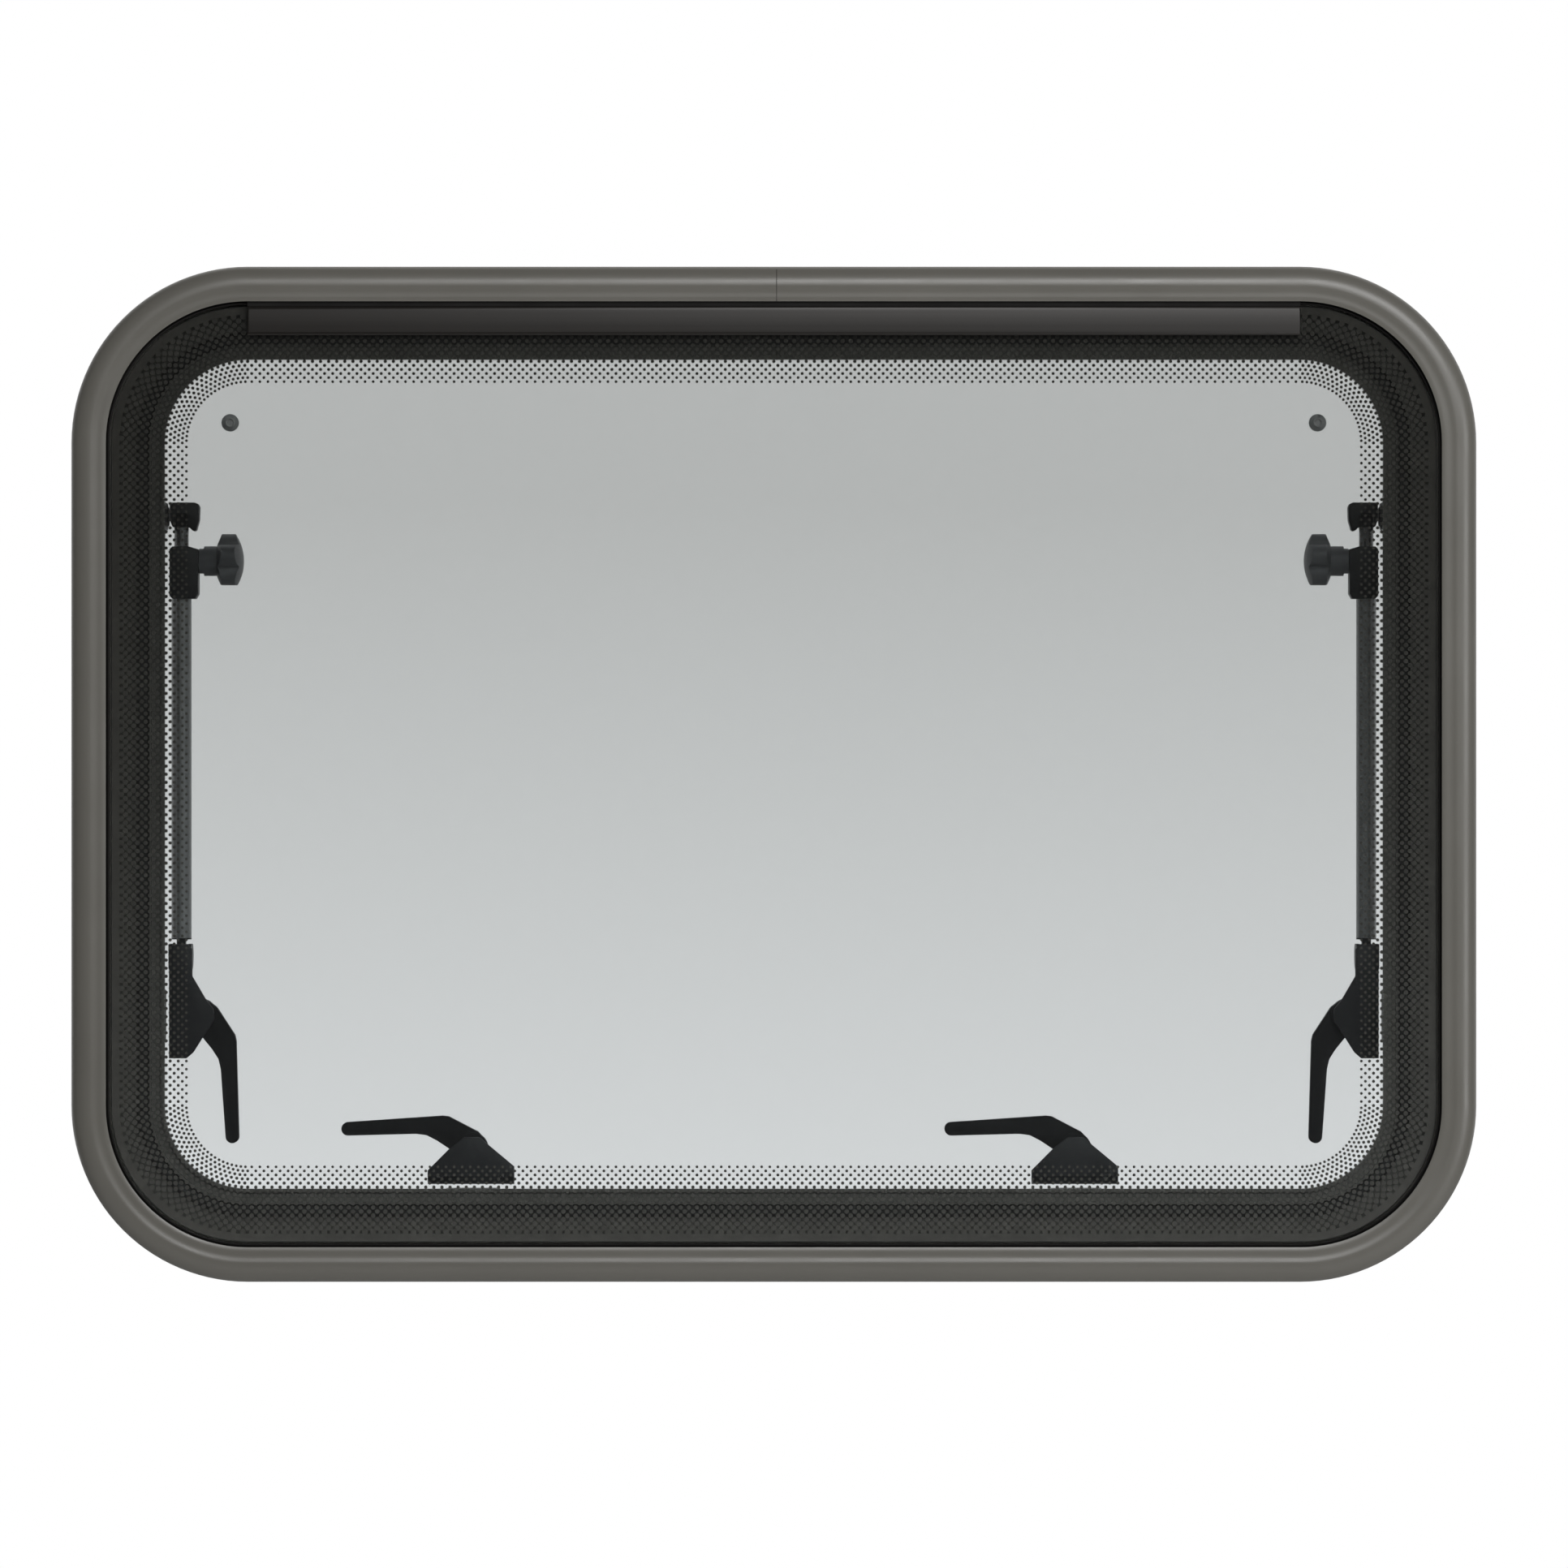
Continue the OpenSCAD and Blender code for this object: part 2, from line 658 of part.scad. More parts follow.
module stay_bracket(side) {
    arm_t = 2.5;
    arm_x = stay_inset;
    arm_r = 7;
    foot_t = 2.5;
    foot_w = landing_edge - clamp_leg_inset - 2;
    foot_h = 24;
    peg_end = clamp_block_out + 0.5;
    color(plastic_black) stay_place(side) {
        translate([arm_x, 0, stay_top_z]) rotate([0, 90, 0]) cylinder(r = arm_r, h = arm_t);
        translate([arm_x, landing_back - stay_depth, stay_top_z - arm_r])
            cube([arm_t, stay_depth - landing_back, 2 * arm_r]);
        translate([arm_x, landing_back - stay_depth, stay_top_z - foot_h / 2])
            cube([foot_w, foot_t, foot_h]);
        translate([peg_end, 0, stay_top_z]) rotate([0, 90, 0]) cylinder(d = peg_d, h = arm_x - peg_end + 1);
    }
}

// Outline of the knob's head
module knob_outline() {
    lobe_r = knob_d / 5;
    circle(r = knob_d / 2 - lobe_r * 0.7);
    for (i = [0 : knob_lobes - 1])
        rotate(i * 360 / knob_lobes) translate([knob_d / 2 - lobe_r, 0]) circle(lobe_r);
}

// Lobed knob, its spindle in the clamp block
module clamp_knob(side) {
    face_x = clamp_block_out - clamp_block_w - seat_gap;
    spindle_l = 2.7;
    cone = knob_neck_l + knob_stem_l;
    head = cone + knob_cone_l;
    dome_r = (knob_d * knob_d / 4 + knob_dome_h * knob_dome_h) / (2 * knob_dome_h);
    color(plastic_black) stay_place(side) translate([face_x, 0, knob_z]) rotate([0, -90, 0]) {
        translate([0, 0, -spindle_l]) cylinder(d = spindle_d, h = spindle_l + 1);
        cylinder(d = knob_neck_d, h = knob_neck_l);
        translate([0, 0, knob_neck_l]) cylinder(d = knob_stem_d, h = knob_stem_l);
        intersection() {
            translate([0, 0, cone]) cylinder(d1 = knob_stem_d + 2, d2 = knob_d, h = knob_cone_l);
            translate([0, 0, cone]) linear_extrude(knob_cone_l) knob_outline();
        }
        intersection() {
            translate([0, 0, head]) linear_extrude(knob_t + knob_dome_h) knob_outline();
            translate([0, 0, head + knob_t + knob_dome_h - dome_r]) sphere(dome_r, $fn = 96);
        }
    }
}

outer_frame();
wall_seal();
sash_seal();
clamp_frame();
clamp_screws();
stay_bracket(-1);  // stay_bracket_left
stay_bracket(1);  // stay_bracket_right
bottom_catch_place(-1) keeper(bottom_tongue);  // keeper_bottom_left
bottom_catch_place(1) keeper(bottom_tongue);  // keeper_bottom_right
side_catch_place(-1) keeper(side_tongue);  // keeper_side_left
side_catch_place(1) keeper(side_tongue);  // keeper_side_right
outer_pane();
inner_pane();
hinge_rail();
breather_plug(-1);  // breather_plug_left
breather_plug(1);  // breather_plug_right
bottom_catch_place(-1) catch_base();  // catch_base_bottom_left
bottom_catch_place(1) catch_base();  // catch_base_bottom_right
side_mount(-1);  // side_mount_left
side_mount(1);  // side_mount_right
bottom_catch_place(-1) catch_lever(bottom_tongue);  // catch_lever_bottom_left
bottom_catch_place(1) catch_lever(bottom_tongue);  // catch_lever_bottom_right
side_lever(-1);  // catch_lever_side_left
side_lever(1);  // catch_lever_side_right
stay_tube(-1);  // stay_tube_left
stay_tube(1);  // stay_tube_right
stay_foot(-1);  // stay_foot_left
stay_foot(1);  // stay_foot_right
clamp_block(-1);  // clamp_block_left
clamp_block(1);  // clamp_block_right
stay_rod(-1);  // stay_rod_left
stay_rod(1);  // stay_rod_right
rod_end(-1);  // rod_end_left
rod_end(1);  // rod_end_right
clamp_knob(-1);  // clamp_knob_left
clamp_knob(1);  // clamp_knob_right
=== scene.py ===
"""Dresses the caravan window: printed border, rounded mouldings, screws, finishes and a plain studio."""

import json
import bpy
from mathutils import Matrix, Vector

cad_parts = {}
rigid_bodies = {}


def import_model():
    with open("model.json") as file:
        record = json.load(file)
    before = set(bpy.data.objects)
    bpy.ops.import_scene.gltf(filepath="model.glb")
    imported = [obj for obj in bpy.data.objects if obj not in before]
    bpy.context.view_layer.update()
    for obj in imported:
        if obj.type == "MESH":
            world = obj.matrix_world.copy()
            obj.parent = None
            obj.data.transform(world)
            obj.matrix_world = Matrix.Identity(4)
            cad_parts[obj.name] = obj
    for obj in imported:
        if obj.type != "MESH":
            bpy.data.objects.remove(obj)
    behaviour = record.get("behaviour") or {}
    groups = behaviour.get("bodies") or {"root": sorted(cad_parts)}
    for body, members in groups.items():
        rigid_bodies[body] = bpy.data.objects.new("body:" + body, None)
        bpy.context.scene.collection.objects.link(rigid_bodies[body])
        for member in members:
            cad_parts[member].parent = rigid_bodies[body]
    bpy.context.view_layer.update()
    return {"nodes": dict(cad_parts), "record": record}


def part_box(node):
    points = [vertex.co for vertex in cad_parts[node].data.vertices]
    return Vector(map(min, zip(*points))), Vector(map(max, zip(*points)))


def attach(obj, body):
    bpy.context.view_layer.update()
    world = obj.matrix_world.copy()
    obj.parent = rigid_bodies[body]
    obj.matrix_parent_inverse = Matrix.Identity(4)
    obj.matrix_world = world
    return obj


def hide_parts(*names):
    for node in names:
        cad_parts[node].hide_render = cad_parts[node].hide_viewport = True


bl_info = {
    "name": "Caravan Window",
    "version": (1, 0, 0),
    "blender": (4, 5, 0),
    "location": "3D View > Sidebar > Caravan Window",
    "description": "Printed border, moulded fittings, finishes and a studio for a top-hung caravan window",
    "category": "Object",
}

from math import cos, hypot, pi, radians, sin

import bmesh
import bpy
from bpy.props import FloatProperty, FloatVectorProperty, IntProperty, PointerProperty
from bpy.types import Operator, Panel, PropertyGroup

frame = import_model()

MM = 0.001
SIDES = ("left", "right")

# Outlines from the frame; every outline turns its corners about the points where the rail ends
PANE_LOW, PANE_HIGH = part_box("outer_pane")
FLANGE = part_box("outer_frame")[1]
INNER_PANE_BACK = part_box("inner_pane")[1][1]
RUN_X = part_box("hinge_rail")[1][0]
PANE_CORNER = PANE_HIGH[0] - RUN_X
RUN_Z = PANE_HIGH[2] - PANE_CORNER

# The frame's section, inwards from its outer edge and outwards from the vehicle's skin
FACE_W = 18 * MM
WALL = 1.6 * MM
NECK = 11.5 * MM
NECK_FOOT = -22 * MM
NECK_DEPTH = 1.3 * WALL
LANDING_EDGE = 47.5 * MM
LANDING_FRONT = -9 * MM
LANDING_BACK = -10.8 * MM
RIB_FRONT = -6 * MM
SEAL_RIBS = (32.8 * MM, 40.2 * MM)
SEAL_RIB_W = 0.8 * MM
SEAL_RIB_FRONT = -7.6 * MM

# The hinge channel; its angles are 90 degrees at its front and 180 at its inner side
BEAD_HEIGHT = 3.2 * MM
CHANNEL_IN = 2.1 * MM
CHANNEL_OUT = 3.24 * MM
CHANNEL_FRONT = 108
CHANNEL_BACK = -140
CHANNEL_END = -14
# Margin round the hinge channel within which the frame gets painted shade
SHADE_MARGIN = 0.2 * MM

# The butt joint: its place right of the centre, and how far its sealant stands proud
JOINT_X = 1.4 * MM
JOINT_PROUD = 0.05 * MM

# The print: its distance behind the outer pane, its margin to the pane's edge and its facets
PRINT_GAP = 0.12 * MM
PRINT_MARGIN = 0.3 * MM
DOT_SIDES = 12
BAND_SIDES = 96

# Clamp screws; the shank is shorter than the solid screw by the trim
CLAMP_HEAD = 7 * MM
CLAMP_HEAD_HEIGHT = 2.1 * MM
SHANK_RADIUS = 1.7 * MM
SHANK_TRIM = 3 * MM
SHANK_EDGE = 0.3 * MM

# Screws of the bases and mounts, from the inner pane, and from the edges of their piece
BASE_FACE = 3.5 * MM
BASE_HEAD_HEIGHT = 1.3 * MM
BASE_SCREWS = (0.14, 0.86)
BASE_SCREW_RISE = 5.5 * MM
MOUNT_SCREW_INSET = 6 * MM
MOUNT_SCREW_RISES = (5.5 * MM, 39 * MM)

# A screw head's rounding and recess, as shares of its height and width
HEAD_ROUNDING = 0.42
RECESS_LENGTH = 0.52
RECESS_DEPTH = 0.9
RECESS_WIDTH = 0.13

# A breather plug's rings as shares of its radius and thickness, and its stem
PLUG_RIM = 0.12
PLUG_GROOVE = (0.1, -0.35)
PLUG_FLOOR = 0.28
PLUG_BOSS = (0.08, 0.3)
STEM_RADIUS = 2.4 * MM
STEM_CLEARANCE = 0.1 * MM
STEM_WALL = 0.6 * MM
STEM_HOLLOW = (0.3 * MM, -0.8 * MM)
PLUG_EDGE = 0.12 * MM

# The hinge rail's plate, before the pane and up from the rail's lower edge
PLATE_FRONT = 2 * MM
PLATE_HEIGHT = 14.7 * MM
PLATE_EDGE = 1 * MM

# Distance under which points are merged, angle under which faces are one, and a hair's breadth
MERGE = 0.002 * MM
FLAT = radians(0.6)
NEAR = 0.001 * MM

# Painted shade: the outer pane is darkest from this share of its upper half upwards
SHADE_TOP = 0.58

# Each lamp's place, its width and height, the setting of its power and its share of that
LAMPS = {
    "key_lamp": ((0.7, -3.1, 1.3), (2.2, 0.9), "key_power", 1),
    "side_lamp": ((2.3, -2.5, 0.1), (1.0, 1.6), "fill_power", 1),
    "low_lamp": ((0.0, -2.3, -1.7), (1.8, 0.7), "fill_power", 0.3),
    "inside_lamp": ((0.0, 1.6, 2.4), (1.8, 1.2), "inside_power", 1),
}

# The photo's width and how far its centre lies off the window's, in pixels, and the camera's sensor
PHOTO_WIDTH = 1932
OFF_CENTRE = (12.5, -12)
SENSOR = 36

# What every length and every colour of the settings shares
LENGTH = {"subtype": "DISTANCE", "unit": "LENGTH", "precision": 4}
COLOUR = {"size": 3, "min": 0, "max": 1, "subtype": "COLOR"}


def linear(red, green, blue):
    """A colour as it shows on a screen, 0 to 255, made linear."""
    def channel(value):
        value = value / 255
        return value / 12.92 if value <= 0.04045 else ((value + 0.055) / 1.055) ** 2.4
    return (channel(red), channel(green), channel(blue))


# Settings that a user would change


class PrintSettings(PropertyGroup):
    """The printed border of the outer pane."""

    ring_width: FloatProperty(
        name="Solid band", description="Width of the solid band along the pane's edge",
        default=3.9 * MM, min=1 * MM, max=12 * MM, **LENGTH)
    first_row: FloatProperty(
        name="First row", description="Distance of the outermost row of dots from the pane's edge",
        default=5.2 * MM, min=2 * MM, max=15 * MM, **LENGTH)
    row_step: FloatProperty(
        name="Row step", description="Distance from one row of dots to the next",
        default=2.083 * MM, min=1.5 * MM, max=4 * MM, **LENGTH)
    rows: IntProperty(
        name="Rows", description="Number of rows of dots", default=17, min=4, max=24)
    corner_dots: IntProperty(
        name="Corner dots", description="Number of dots round a corner in each row",
        default=21, min=8, max=40)
    outer_dot: FloatProperty(
        name="Outer dot", description="Radius of the dots in the outermost row",
        default=1.5 * MM, min=0.4 * MM, max=2 * MM, **LENGTH)
    middle_dot: FloatProperty(
        name="Middle dot", description="Radius of the dots halfway through the border",
        default=1.0 * MM, min=0.3 * MM, max=1.6 * MM, **LENGTH)
    inner_dot: FloatProperty(
        name="Inner dot", description="Radius of the dots in the innermost row",
        default=0.72 * MM, min=0.2 * MM, max=1.2 * MM, **LENGTH)


class SectionSettings(PropertyGroup):
    """The domed face of the frame extrusion."""

    crest: FloatProperty(
        name="Crest", description="Distance of the dome's highest line from the frame's outer edge",
        default=9.6 * MM, min=6.5 * MM, max=12 * MM, **LENGTH)
    hollow: FloatProperty(
        name="Hollow", description="Extra depth of the slope halfway from the dome to the lip",
        default=0.15 * MM, min=0, max=1 * MM, **LENGTH)
    lip: FloatProperty(
        name="Lip", description="Distance of the lip from the frame's outer edge",
        default=15.4 * MM, min=13 * MM, max=17 * MM, **LENGTH)
    lip_drop: FloatProperty(
        name="Lip drop", description="How far the lip lies below the dome's highest line",
        default=0.6 * MM, min=0, max=0.8 * MM, **LENGTH)
    roll: FloatProperty(
        name="Lip roll", description="How far the lip rolls down towards the hinge channel",
        default=0.4 * MM, min=0, max=0.5 * MM, **LENGTH)
    corner_steps: IntProperty(
        name="Corner steps", description="Number of facets round each corner", default=28, min=8, max=64)
    seam: FloatProperty(
        name="Joint", description="Width of the sealed butt joint",
        default=0.32 * MM, min=0.1 * MM, max=1 * MM, **LENGTH)


class MouldingSettings(PropertyGroup):
    """The rounding of the moulded fittings."""

    lever_edge: FloatProperty(
        name="Grip rounding", description="Radius of the rounded edges of the catch grips",
        default=1.6 * MM, min=0.2 * MM, max=2.5 * MM, **LENGTH)
    body_edge: FloatProperty(
        name="Fitting rounding", description="Radius of the rounded edges of bases, blocks and brackets",
        default=0.7 * MM, min=0.1 * MM, max=1.2 * MM, **LENGTH)
    knob_edge: FloatProperty(
        name="Knob rounding", description="Radius of the rounded edges of the clamp knobs",
        default=1.1 * MM, min=0.2 * MM, max=2 * MM, **LENGTH)
    screw_head: FloatProperty(
        name="Base screw head", description="Diameter of the screw heads in the catch bases",
        default=5.2 * MM, min=3 * MM, max=7 * MM, **LENGTH)


class FinishSettings(PropertyGroup):
    """Colours of the finishes."""

    frame_colour: FloatVectorProperty(
        name="Frame", description="Colour of the painted frame extrusion",
        default=linear(105, 103, 97), **COLOUR)
    plastic_colour: FloatVectorProperty(
        name="Plastic", description="Colour of the moulded fittings",
        default=linear(30, 31, 32), **COLOUR)
    rubber_colour: FloatVectorProperty(
        name="Rubber", description="Colour of the seals",
        default=linear(42, 41, 39), **COLOUR)
    rail_colour: FloatVectorProperty(
        name="Rail", description="Colour of the anodised hinge rail",
        default=linear(30, 27, 24), **COLOUR)
    tube_colour: FloatVectorProperty(
        name="Stay tube", description="Colour of the stay tubes",
        default=linear(142, 143, 143), **COLOUR)
    pane_colour: FloatVectorProperty(
        name="Outer pane", description="Tint of the outer pane near its lower edge",
        default=linear(234, 236, 237), **COLOUR)
    # Painted shade: the pane's colour near its upper edge is darker, so the pane darkens towards the top
    pane_top_shade_colour: FloatVectorProperty(
        name="Outer pane, top", description="Tint of the outer pane near its upper edge",
        default=linear(198, 199, 198), **COLOUR)


class StageSettings(PropertyGroup):
    """Camera and light."""

    distance: FloatProperty(
        name="Camera distance", description="Distance of the camera from the window",
        default=5, min=1.5, max=12, **LENGTH)
    view_width: FloatProperty(
        name="View width", description="Width that the picture covers at the window",
        default=0.8047, min=0.4, max=3, **LENGTH)
    key_power: FloatProperty(
        name="Key lamp", description="Power of the large lamp above the camera in watts",
        default=58, min=0, max=400)
    inside_power: FloatProperty(
        name="Inside lamp", description="Power of the lamp above the window's inner side in watts",
        default=40, min=0, max=400)
    fill_power: FloatProperty(
        name="Fill lamps", description="Power of the side lamp in watts, of which the low lamp has a share",
        default=22, min=0, max=200)
    ambient: FloatProperty(
        name="Room light", description="Brightness of the room round the window",
        default=0.1, min=0, max=1, subtype="FACTOR")
    floor_height: FloatProperty(
        name="Floor height", description="Height of the floor, below the window",
        default=-0.95, min=-3, max=-0.3, **LENGTH)


class WindowSettings(PropertyGroup):
    """All settings of the window."""

    border: PointerProperty(type=PrintSettings, name="Print", description="The printed border")
    section: PointerProperty(type=SectionSettings, name="Frame", description="The frame's domed face")
    moulding: PointerProperty(
        type=MouldingSettings, name="Mouldings", description="Rounding of the fittings")
    finish: PointerProperty(type=FinishSettings, name="Finishes", description="Colours of the finishes")
    stage: PointerProperty(type=StageSettings, name="Stage", description="Camera and light")


# Modelling helpers


def active():
    """The active object, such as a primitive that was just added."""
    return bpy.context.view_layer.objects.active


def edit_mode():
    bpy.ops.object.mode_set(mode="EDIT")


def object_mode():
    bpy.ops.object.mode_set(mode="OBJECT")


def clear_selection():
    if active() and bpy.context.object.mode != "OBJECT":
        object_mode()
    bpy.ops.object.select_all(action="DESELECT")


def pick(*objects):
    """Selects these objects and makes the first one active."""
    clear_selection()
    for obj in objects:
        obj.select_set(True)
    bpy.context.view_layer.objects.active = objects[0]
    return objects[0]


def place_in_mesh():
    """Moves the place, turn and scale of the selected objects into their meshes."""
    bpy.ops.object.transform_apply(location=True, rotation=True, scale=True)
    return active()


def copy_of(model):
    """A copy of an object with its own mesh, selected alone."""
    pick(model)
    bpy.ops.object.duplicate()
    return active()


def select_verts(obj, test):
    """In edit mode, selects the vertices whose place passes the test."""
    bpy.ops.mesh.select_mode(type="VERT")
    bpy.ops.mesh.select_all(action="DESELECT")
    mesh = bmesh.from_edit_mesh(obj.data)
    for vert in mesh.verts:
        vert.select = bool(test(vert.co))
    mesh.select_flush(True)
    bmesh.update_edit_mesh(obj.data)


def select_faces(obj, test):
    """In edit mode, selects the faces that pass the test."""
    bpy.ops.mesh.select_mode(type="FACE")
    bpy.ops.mesh.select_all(action="DESELECT")
    mesh = bmesh.from_edit_mesh(obj.data)
    for face in mesh.faces:
        face.select = bool(test(face))
    mesh.select_flush_mode()
    bmesh.update_edit_mesh(obj.data)


def extrude(x=0, y=0, z=0):
    """In edit mode, extrudes what is selected."""
    bpy.ops.mesh.extrude_region_move(TRANSFORM_OT_translate={"value": (x, y, z)})


def depth_of(face):
    """How far the middle of a face lies into the vehicle."""
    return face.calc_center_median().y


def apply_modifiers(obj):
    pick(obj)
    for modifier in list(obj.modifiers):
        bpy.ops.object.modifier_apply(modifier=modifier.name)


def round_edges(obj, width, segments, angle):
    """Rounds the edges that are sharper than the angle, in degrees."""
    bevel = obj.modifiers.new("rounding", "BEVEL")
    bevel.width = width
    bevel.segments = segments
    bevel.limit_method = "ANGLE"
    bevel.angle_limit = radians(angle)
    return bevel


def mirror_quarter(obj):
    """Mirrors a quarter of the window to its other three quarters."""
    mirror = obj.modifiers.new("mirror", "MIRROR")
    mirror.use_axis = (True, False, True)
    return mirror


def settle(obj, name, angle=35):
    """Puts the object at the origin with its place in its mesh, and shades it."""
    pick(obj)
    place_in_mesh()
    bpy.ops.object.shade_smooth_by_angle(angle=radians(angle))
    obj.name = name
    obj.data.name = name
    return obj


def join(objects, name):
    """Joins objects into one piece."""
    first = pick(*objects)
    bpy.ops.object.join()
    first.name = name
    first.data.name = name
    return first


def paint(obj, *materials):
    obj.data.materials.clear()
    for material in materials:
        obj.data.materials.append(material)


def node_body(node):
    """The body that a CAD node rides on."""
    for body, nodes in frame["record"]["behaviour"]["bodies"].items():
        if node in nodes:
            return body
    raise RuntimeError("no body holds " + node)


def clean_copy(node):
    """A copy of a CAD node whose loose triangles are merged into flat faces, in edit mode."""
    piece = copy_of(frame["nodes"][node])
    bpy.ops.object.parent_clear(type="CLEAR_KEEP_TRANSFORM")
    bpy.ops.mesh.customdata_custom_splitnormals_clear()
    edit_mode()
    bpy.ops.mesh.select_all(action="SELECT")
    bpy.ops.mesh.remove_doubles(threshold=MERGE)
    bpy.ops.mesh.dissolve_limited(angle_limit=FLAT)
    return piece


def moulded_copy(node, name, edge, material, segments=3):
    """A copy of a CAD moulding with rounded edges, which stands for it."""
    piece = clean_copy(node)
    object_mode()
    bevel = round_edges(piece, edge, segments, 40)
    bevel.miter_outer = "MITER_ARC"
    apply_modifiers(piece)
    settle(piece, name)
    paint(piece, material)
    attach(piece, node_body(node))
    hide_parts(node)


# Shader node groups


def new_group(name, inputs, outputs):
    group = bpy.data.node_groups.new(name, "ShaderNodeTree")
    for label, kind, value in inputs:
        socket = group.interface.new_socket(name=label, in_out="INPUT", socket_type=kind)
        if value is not None:
            socket.default_value = value
    for label, kind in outputs:
        group.interface.new_socket(name=label, in_out="OUTPUT", socket_type=kind)
    return group, group.nodes.new("NodeGroupInput"), group.nodes.new("NodeGroupOutput")


def feed(tree, socket, value):
    """Gives a socket a link from another one, or else a plain value."""
    if isinstance(value, bpy.types.NodeSocket):
        tree.links.new(value, socket)
    else:
        socket.default_value = value


def math_node(tree, operation, *values, clamp=False):
    """The result of a sum whose terms are sockets or numbers."""
    node = tree.nodes.new("ShaderNodeMath")
    node.operation = operation
    node.use_clamp = clamp
    for socket, value in zip(node.inputs, values):
        feed(tree, socket, value)
    return node.outputs[0]


def noise_node(tree, vector, scale, detail):
    """Soft noise over a surface."""
    noise = tree.nodes.new("ShaderNodeTexNoise")
    feed(tree, noise.inputs["Vector"], vector)
    feed(tree, noise.inputs["Scale"], scale)
    noise.inputs["Detail"].default_value = detail
    return noise


def range_node(tree, value, low, high, to_low, to_high):
    """Spreads the values from low to high over a new range."""
    spread = tree.nodes.new("ShaderNodeMapRange")
    for label, given in (("Value", value), ("From Min", low), ("From Max", high),
                         ("To Min", to_low), ("To Max", to_high)):
        feed(tree, spread.inputs[label], given)
    return spread.outputs["Result"]


def mix_shaders(tree, share, first, second):
    """The first shader where the share is 0, and the second where it is 1."""
    mix = tree.nodes.new("ShaderNodeMixShader")
    for socket, value in zip(mix.inputs, (share, first, second)):
        tree.links.new(value, socket)
    return mix.outputs[0]


def tone_group():
    """Slow changes of a colour over the surface, as on paint, plastic and rubber."""
    group, given, out = new_group(
        "Tone variation",
        [("Vector", "NodeSocketVector", None), ("Colour", "NodeSocketColor", (0.2, 0.2, 0.2, 1)),
         ("Scale", "NodeSocketFloat", 40.0), ("Amount", "NodeSocketFloat", 0.1)],
        [("Colour", "NodeSocketColor")])
    noise = noise_node(group, given.outputs["Vector"], given.outputs["Scale"], 3)
    spread = math_node(group, "SUBTRACT", noise.outputs["Fac"], 0.5)
    change = math_node(group, "MULTIPLY", spread, given.outputs["Amount"])
    scale = group.nodes.new("ShaderNodeVectorMath")
    scale.operation = "SCALE"
    group.links.new(given.outputs["Colour"], scale.inputs[0])
    group.links.new(math_node(group, "MULTIPLY_ADD", change, 2, 1), scale.inputs["Scale"])
    group.links.new(scale.outputs[0], out.inputs["Colour"])
    return group


def grain_group():
    """Fine moulded or sprayed grain, as a height."""
    group, given, out = new_group(
        "Fine grain",
        [("Vector", "NodeSocketVector", None), ("Scale", "NodeSocketFloat", 1200.0),
         ("Softness", "NodeSocketFloat", 0.4)],
        [("Height", "NodeSocketFloat")])
    cells = group.nodes.new("ShaderNodeTexVoronoi")
    noise = noise_node(group, given.outputs["Vector"], given.outputs["Scale"], 2)
    mix = group.nodes.new("ShaderNodeMix")
    mix.data_type = "FLOAT"
    link = group.links.new
    link(given.outputs["Vector"], cells.inputs["Vector"])
    link(given.outputs["Scale"], cells.inputs["Scale"])
    link(given.outputs["Softness"], mix.inputs[0])
    link(cells.outputs["Distance"], mix.inputs[2])
    link(noise.outputs["Fac"], mix.inputs[3])
    link(mix.outputs[0], out.inputs["Height"])
    return group


def sheen_group():
    """Roughness that changes with handling and cleaning marks."""
    group, given, out = new_group(
        "Handling marks",
        [("Vector", "NodeSocketVector", None), ("Scale", "NodeSocketFloat", 25.0),
         ("Low", "NodeSocketFloat", 0.35), ("High", "NodeSocketFloat", 0.5)],
        [("Roughness", "NodeSocketFloat")])
    noise = noise_node(group, given.outputs["Vector"], given.outputs["Scale"], 5)
    noise.inputs["Roughness"].default_value = 0.6
    marks = range_node(group, noise.outputs["Fac"], 0.3, 0.7, given.outputs["Low"], given.outputs["High"])
    group.links.new(marks, out.inputs["Roughness"])
    return group


GROUP_MAKERS = {"tone": tone_group, "grain": grain_group, "sheen": sheen_group}
GROUPS = {}


def add_group(tree, kind, vector, **values):
    """Places a node group, which is built once, and sets its values."""
    if kind not in GROUPS:
        GROUPS[kind] = GROUP_MAKERS[kind]()
    node = tree.nodes.new("ShaderNodeGroup")
    node.node_tree = GROUPS[kind]
    tree.links.new(vector, node.inputs["Vector"])
    for label, value in values.items():
        node.inputs[label].default_value = value
    return node.outputs[0]


# Materials


def new_material(name):
    """A material with its tree, its main shader and its Object coordinates."""
    material = bpy.data.materials.new(name)
    material.use_nodes = True
    tree = material.node_tree
    tree.nodes.clear()
    shader = tree.nodes.new("ShaderNodeBsdfPrincipled")
    place = tree.nodes.new("ShaderNodeTexCoord")
    return material, tree, shader, place.outputs["Object"]


def put_out(tree, shader, kind="ShaderNodeOutputMaterial"):
    """Ends a tree with its output."""
    out = tree.nodes.new(kind)
    tree.links.new(shader, out.inputs["Surface"])


def add_bump(tree, shader, height, strength, distance):
    bump = tree.nodes.new("ShaderNodeBump")
    bump.inputs["Strength"].default_value = strength
    bump.inputs["Distance"].default_value = distance
    tree.links.new(height, bump.inputs["Height"])
    tree.links.new(bump.outputs["Normal"], shader.inputs["Normal"])


def add_sheen(tree, shader, vector, scale, rough):
    """Roughness that wanders between two values."""
    sheen = add_group(tree, "sheen", vector, Scale=scale, Low=rough[0], High=rough[1])
    tree.links.new(sheen, shader.inputs["Roughness"])


def let_through(tree, colour):
    """A clear shader of a colour, which can be a socket."""
    through = tree.nodes.new("ShaderNodeBsdfTransparent")
    feed(tree, through.inputs["Color"], colour)
    return through.outputs[0]


